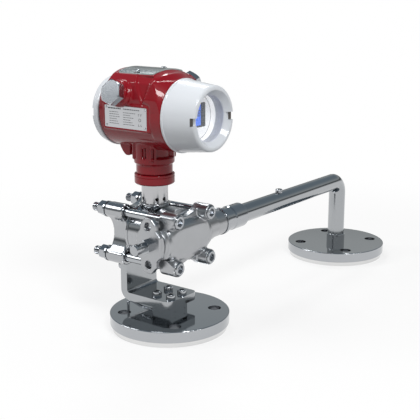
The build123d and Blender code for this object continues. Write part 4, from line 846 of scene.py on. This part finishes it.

# %% [markdown]
# ## Painted shade in the cap's notches
# A strap wrench fits the two notches in the rim of the display cap. Their
# floors look dark in shade, so each gets a thin dark sheet of painted shade
# that rides with the cap.

# %% Notch sheets of painted shade
NOTCH_DEPTH = 6.0 * MM
NOTCH_INNER, NOTCH_OUTER, NOTCH_HALF_H = 37.2 * MM, 43.0 * MM, 5.1 * MM
SHEET_BELOW, SHEET_ABOVE = 0.1 * MM, 0.4 * MM


def thin_box(low, high):
    """A closed grid over a box: two square ends joined by four sides."""
    (x0, y0, z0), (x1, y1, z1) = low, high
    square = np.array([(y0, z0), (y1, z0), (y1, z1), (y0, z1)])
    centre = square.mean(axis=0)
    rows = [(x0, 0.0), (x0, 1.0), (x1, 1.0), (x1, 0.0)]
    return np.stack([np.column_stack([np.full(4, x), centre + size * (square - centre)])
                     for x, size in rows])


floor_x = low_high("display_cap")[1][0] - NOTCH_DEPTH
# Each sheet is painted shade on a notch floor, not a part of the cap.
shade_sheets = [thin_box((floor_x - SHEET_BELOW, side * NOTCH_INNER, HEAD_AXIS[2] - NOTCH_HALF_H),
                    (floor_x + SHEET_ABOVE, side * NOTCH_OUTER, HEAD_AXIS[2] + NOTCH_HALF_H))
           for side in (-1, 1)]
skin("cap_notch_painted_shade", shade_sheets, "front_cap", NOTCH_PAINTED_SHADE)

# %% [markdown]
# ## A circle on the dial
# A thin dark circle runs round the white dial behind the window. It is the
# same kind of band as the ring on the plate, about the head's axis.

# %% A thin circle
DIAL_X = 48.0 * MM
DIAL_INNER, DIAL_OUTER, DIAL_HALF_T = 29.6 * MM, 30.3 * MM, 0.06 * MM

along, across, up = band(DIAL_INNER, DIAL_OUTER, DIAL_HALF_T)
dial_ring = np.stack([DIAL_X + along, across, HEAD_AXIS[2] + up], axis=-1)
skin("dial_line", [dial_ring], "head", INK)

# %% [markdown]
# ## Figures on the screen
# A liquid crystal figure is seven slanted bars, each one lit or not. Every
# bar is the same six-cornered prism, turned or moved, so four figures are
# only a table of which bars are on.

# %% Seven-bar figures
FIGURES = {"0": "abcdef", "8": "abcdefg", "9": "abcdfg"}
FIGURE_W, FIGURE_H, BAR_T = 3.6 * MM, 7.2 * MM, 0.9 * MM
FIGURE_PITCH = 1.45 * FIGURE_W
SLANT = 0.10


def bar_outline(start, end):
    """Six corners of a bar with pointed ends between two points of the figure's skeleton."""
    start, end = np.array(start, float), np.array(end, float)
    way = (end - start) / np.linalg.norm(end - start)
    side = np.array([-way[1], way[0]]) * BAR_T / 2
    inset = way * BAR_T * 0.62
    return np.array([start + way * BAR_T * 0.12, start + inset - side, end - inset - side,
                     end - way * BAR_T * 0.12, end - inset + side, start + inset + side])


def figure_bars(text, middle_y, middle_z):
    """Outlines in (y, z) of every lit bar; the figures run towards +Y, as seen from the front."""
    w, h = FIGURE_W, FIGURE_H
    skeleton = {"a": ((0, h), (w, h)), "b": ((w, h), (w, h / 2)), "c": ((w, h / 2), (w, 0)),
                "d": ((0, 0), (w, 0)), "e": ((0, h / 2), (0, 0)), "f": ((0, h), (0, h / 2)),
                "g": ((0, h / 2), (w, h / 2))}
    start_y = middle_y - (FIGURE_PITCH * (len(text) - 1) + w) / 2
    outlines = []
    for place, figure in enumerate(text):
        for bar in FIGURES[figure]:
            shape = bar_outline(*skeleton[bar])
            y = start_y + place * FIGURE_PITCH + shape[:, 0] + SLANT * shape[:, 1]
            outlines.append(np.stack([y, middle_z - h / 2 + shape[:, 1]], axis=-1))
    return outlines


def prisms(outlines, face_x, thickness):
    """Each outline as a thin prism over a face that looks along +X."""
    flat = np.array(outlines)
    corners = flat.shape[1]
    back = np.concatenate([np.full((*flat.shape[:2], 1), face_x - thickness), flat], axis=-1)
    front = back + np.array([2 * thickness, 0, 0])
    points = np.concatenate([back, front], axis=1)
    ring = np.arange(corners)
    beside = np.roll(ring, -1)
    walls = np.stack([ring, beside, beside + corners, ring + corners], axis=-1).tolist()
    faces = []
    for first in range(0, len(outlines) * 2 * corners, 2 * corners):
        faces.append((first + ring[::-1]).tolist())
        faces.append((first + corners + ring).tolist())
        faces += [[first + number for number in wall] for wall in walls]
    return points.reshape(-1, 3), faces


# %% The reading, with its point
READING, READING_RISE, BAR_RELIEF = "0998", 2.0 * MM, 0.05 * MM
POINT_SIZE = 0.9
POINT_OUTLINE = np.array([(0, 0), (POINT_SIZE, 0), (POINT_SIZE, POINT_SIZE), (0, POINT_SIZE),
                          (-0.05, 0.5), (-0.05, 0.4)]) * MM
POINT_GAP, POINT_DROP = 0.2 * MM, 7.0 * MM

low, high = low_high("display_panel")
screen_y, screen_z = (low[1] + high[1]) / 2, (low[2] + high[2]) / 2
outlines = figure_bars(READING, screen_y, screen_z + READING_RISE)
first_bar = outlines[0]
outlines.append(POINT_OUTLINE + np.array([first_bar[0, 0] + FIGURE_W + POINT_GAP,
                                          first_bar[:, 1].min() - POINT_DROP]))
points, faces = prisms(outlines, high[0], BAR_RELIEF)
figures = bpy.data.meshes.new("screen_figures")
figures.from_pydata(points.tolist(), [], faces)
finished(figures)
new_piece("screen_figures", figures, "head", INK)

# %% [markdown]
# ## Room, light and camera
# Metal looks like what it mirrors, so the room matters more than the lamps.
# The floor is pale and turns white with distance, and it keeps the object's
# shadow. The world is white to the camera and through glass, a cool graded
# sky to anything glossy, and a plain dim light to everything else.

# %% Floor
FLOOR_COLOUR, FLOOR_BOUNCE = (0.93, 0.93, 0.93), (0.35, 0.35, 0.35)
FLOOR_SIZE = 12.0
MIDDLE = (0.0, 0.2, 0.0)
NEAR, FAR = 0.35, 0.9
WHITE_NEAR, WHITE_FAR = 0.72, 1.0


def floor_finish():
    """Matt paint, and a share of plain white for camera, mirror and glass rays that grows outwards.

    Light that bounces off the floor sees a darker paint, so the object isn't lit from below too much.
    """
    finish = Finish("floor", Roughness=0.9)
    rays = finish.node("ShaderNodeLightPath", output="Is Camera Ray")
    finish.feed("Base Color", finish.mixed(rays.beside("Is Diffuse Ray"), FLOOR_COLOUR, FLOOR_BOUNCE))
    away = finish.node("ShaderNodeVectorMath", {"operation": "DISTANCE"},
                       {0: finish.place, 1: MIDDLE}, output="Value")
    share = finish.node("ShaderNodeMapRange", {"interpolation_type": "SMOOTHSTEP"},
                        {"Value": away, "From Min": NEAR, "From Max": FAR,
                         "To Min": WHITE_NEAR, "To Max": WHITE_FAR}, output="Result")
    seen = rays.larger(rays.beside("Is Glossy Ray").larger(rays.beside("Is Transmission Ray")))
    paint = Value(finish, finish.shader.outputs[0])
    white = finish.node("ShaderNodeEmission")
    surface = finish.node("ShaderNodeMixShader", None, {0: share * seen, 1: paint, 2: white})
    finish.tree.links.new(surface.socket, finish.tree.nodes["Material Output"].inputs["Surface"])
    return finish


def plain_floor():
    """A flat square under the object."""
    half = FLOOR_SIZE / 2
    mesh = bpy.data.meshes.new("floor")
    corners = [(-half, -half, 0), (half, -half, 0), (half, half, 0), (-half, half, 0)]
    mesh.from_pydata(corners, [], [(0, 1, 2, 3)])
    mesh.materials.append(floor_finish().material)
    floor = bpy.data.objects.new("floor", mesh)
    bpy.context.scene.collection.objects.link(floor)


plain_floor()

# %% World
SKY_STOPS = ((0.0, (1.0, 1.0, 1.0)), (0.05, (0.50, 0.50, 0.50)), (0.13, (0.08, 0.095, 0.105)),
             (0.20, (0.14, 0.15, 0.155)), (0.28, (0.46, 0.48, 0.48)), (0.50, (0.22, 0.27, 0.31)),
             (1.0, (0.13, 0.17, 0.21)))
PLAIN_WHITE = (1, 1, 1, 1)
PLAIN_STRENGTH = 0.38


def studio_world():
    """Three skies, chosen by the kind of ray; the graded one runs by height, horizon first."""
    world = bpy.data.worlds.new("studio")
    bpy.context.scene.world = world
    world.use_nodes = True
    world.node_tree.nodes.clear()
    sky = Graph(world.node_tree)
    rays = sky.node("ShaderNodeLightPath", output="Is Camera Ray")
    way = sky.node("ShaderNodeTexCoord", output="Generated")
    height = sky.node("ShaderNodeSeparateXYZ", None, {0: way}, output="Z")
    grade = sky.node("ShaderNodeValToRGB", {"stops": SKY_STOPS}, {"Fac": height}, output="Color")
    plain = sky.node("ShaderNodeBackground", None, {"Color": PLAIN_WHITE, "Strength": PLAIN_STRENGTH})
    graded = sky.node("ShaderNodeBackground", None, {"Color": grade})
    white = sky.node("ShaderNodeBackground", None, {"Color": PLAIN_WHITE})
    by_gloss = sky.node("ShaderNodeMixShader", None, {0: rays.beside("Is Glossy Ray"), 1: plain, 2: graded})
    seen = rays.larger(rays.beside("Is Transmission Ray"))
    by_camera = sky.node("ShaderNodeMixShader", None, {0: seen, 1: by_gloss, 2: white})
    sky.node("ShaderNodeOutputWorld", None, {"Surface": by_camera})


studio_world()

# %% Lamps
AIM = (0.0, 0.1, 0.15)
LAMPS = (("key", (1.2, -0.6, 1.6), (0.5, 0.5), 19.0),
         ("fill", (-1.4, -0.8, 1.2), (0.7, 0.5), 8.0),
         ("back", (-1.0, 1.1, 1.6), (0.6, 0.3), 8.0),
         ("strip_0", (-0.54, -0.79, 1.85), (0.36, 0.10), 2.5),
         ("strip_1", (-0.36, -0.61, 1.85), (0.36, 0.10), 2.5))


def soft_lamp(name, place, size, power):
    """A soft box that looks at the object."""
    data = bpy.data.lights.new(name, "AREA")
    data.shape = "RECTANGLE"
    data.size, data.size_y = size
    data.energy = power
    lamp = bpy.data.objects.new(name, data)
    bpy.context.scene.collection.objects.link(lamp)
    lamp.location = place
    lamp.rotation_euler = (Vector(AIM) - Vector(place)).to_track_quat("-Z", "Y").to_euler()


for lamp in LAMPS:
    soft_lamp(*lamp)
print("lamps:", len(LAMPS))

# %% [markdown]
# ## The photograph's camera
# Its place, tilt and lens were found by matching the edges of both flanges,
# the bolts and the head.

# %% Camera at the photograph's place
CAMERA_PLACE = (0.74026, -0.89027, 0.45879)
CAMERA_TILT = 75.75
CAMERA_TURN = 36.99
CAMERA_LENS = 76.13


def photo_camera():
    """A tilt of 90 degrees would look level along +Y; less looks down, and the turn swings it left."""
    data = bpy.data.cameras.new("camera")
    data.lens = CAMERA_LENS
    data.sensor_width = 36.0
    camera = bpy.data.objects.new("camera", data)
    bpy.context.scene.collection.objects.link(camera)
    camera.location = CAMERA_PLACE
    camera.rotation_euler = (radians(CAMERA_TILT), 0.0, radians(CAMERA_TURN))
    bpy.context.scene.camera = camera


photo_camera()
bpy.context.scene.view_settings.view_transform = "Standard"
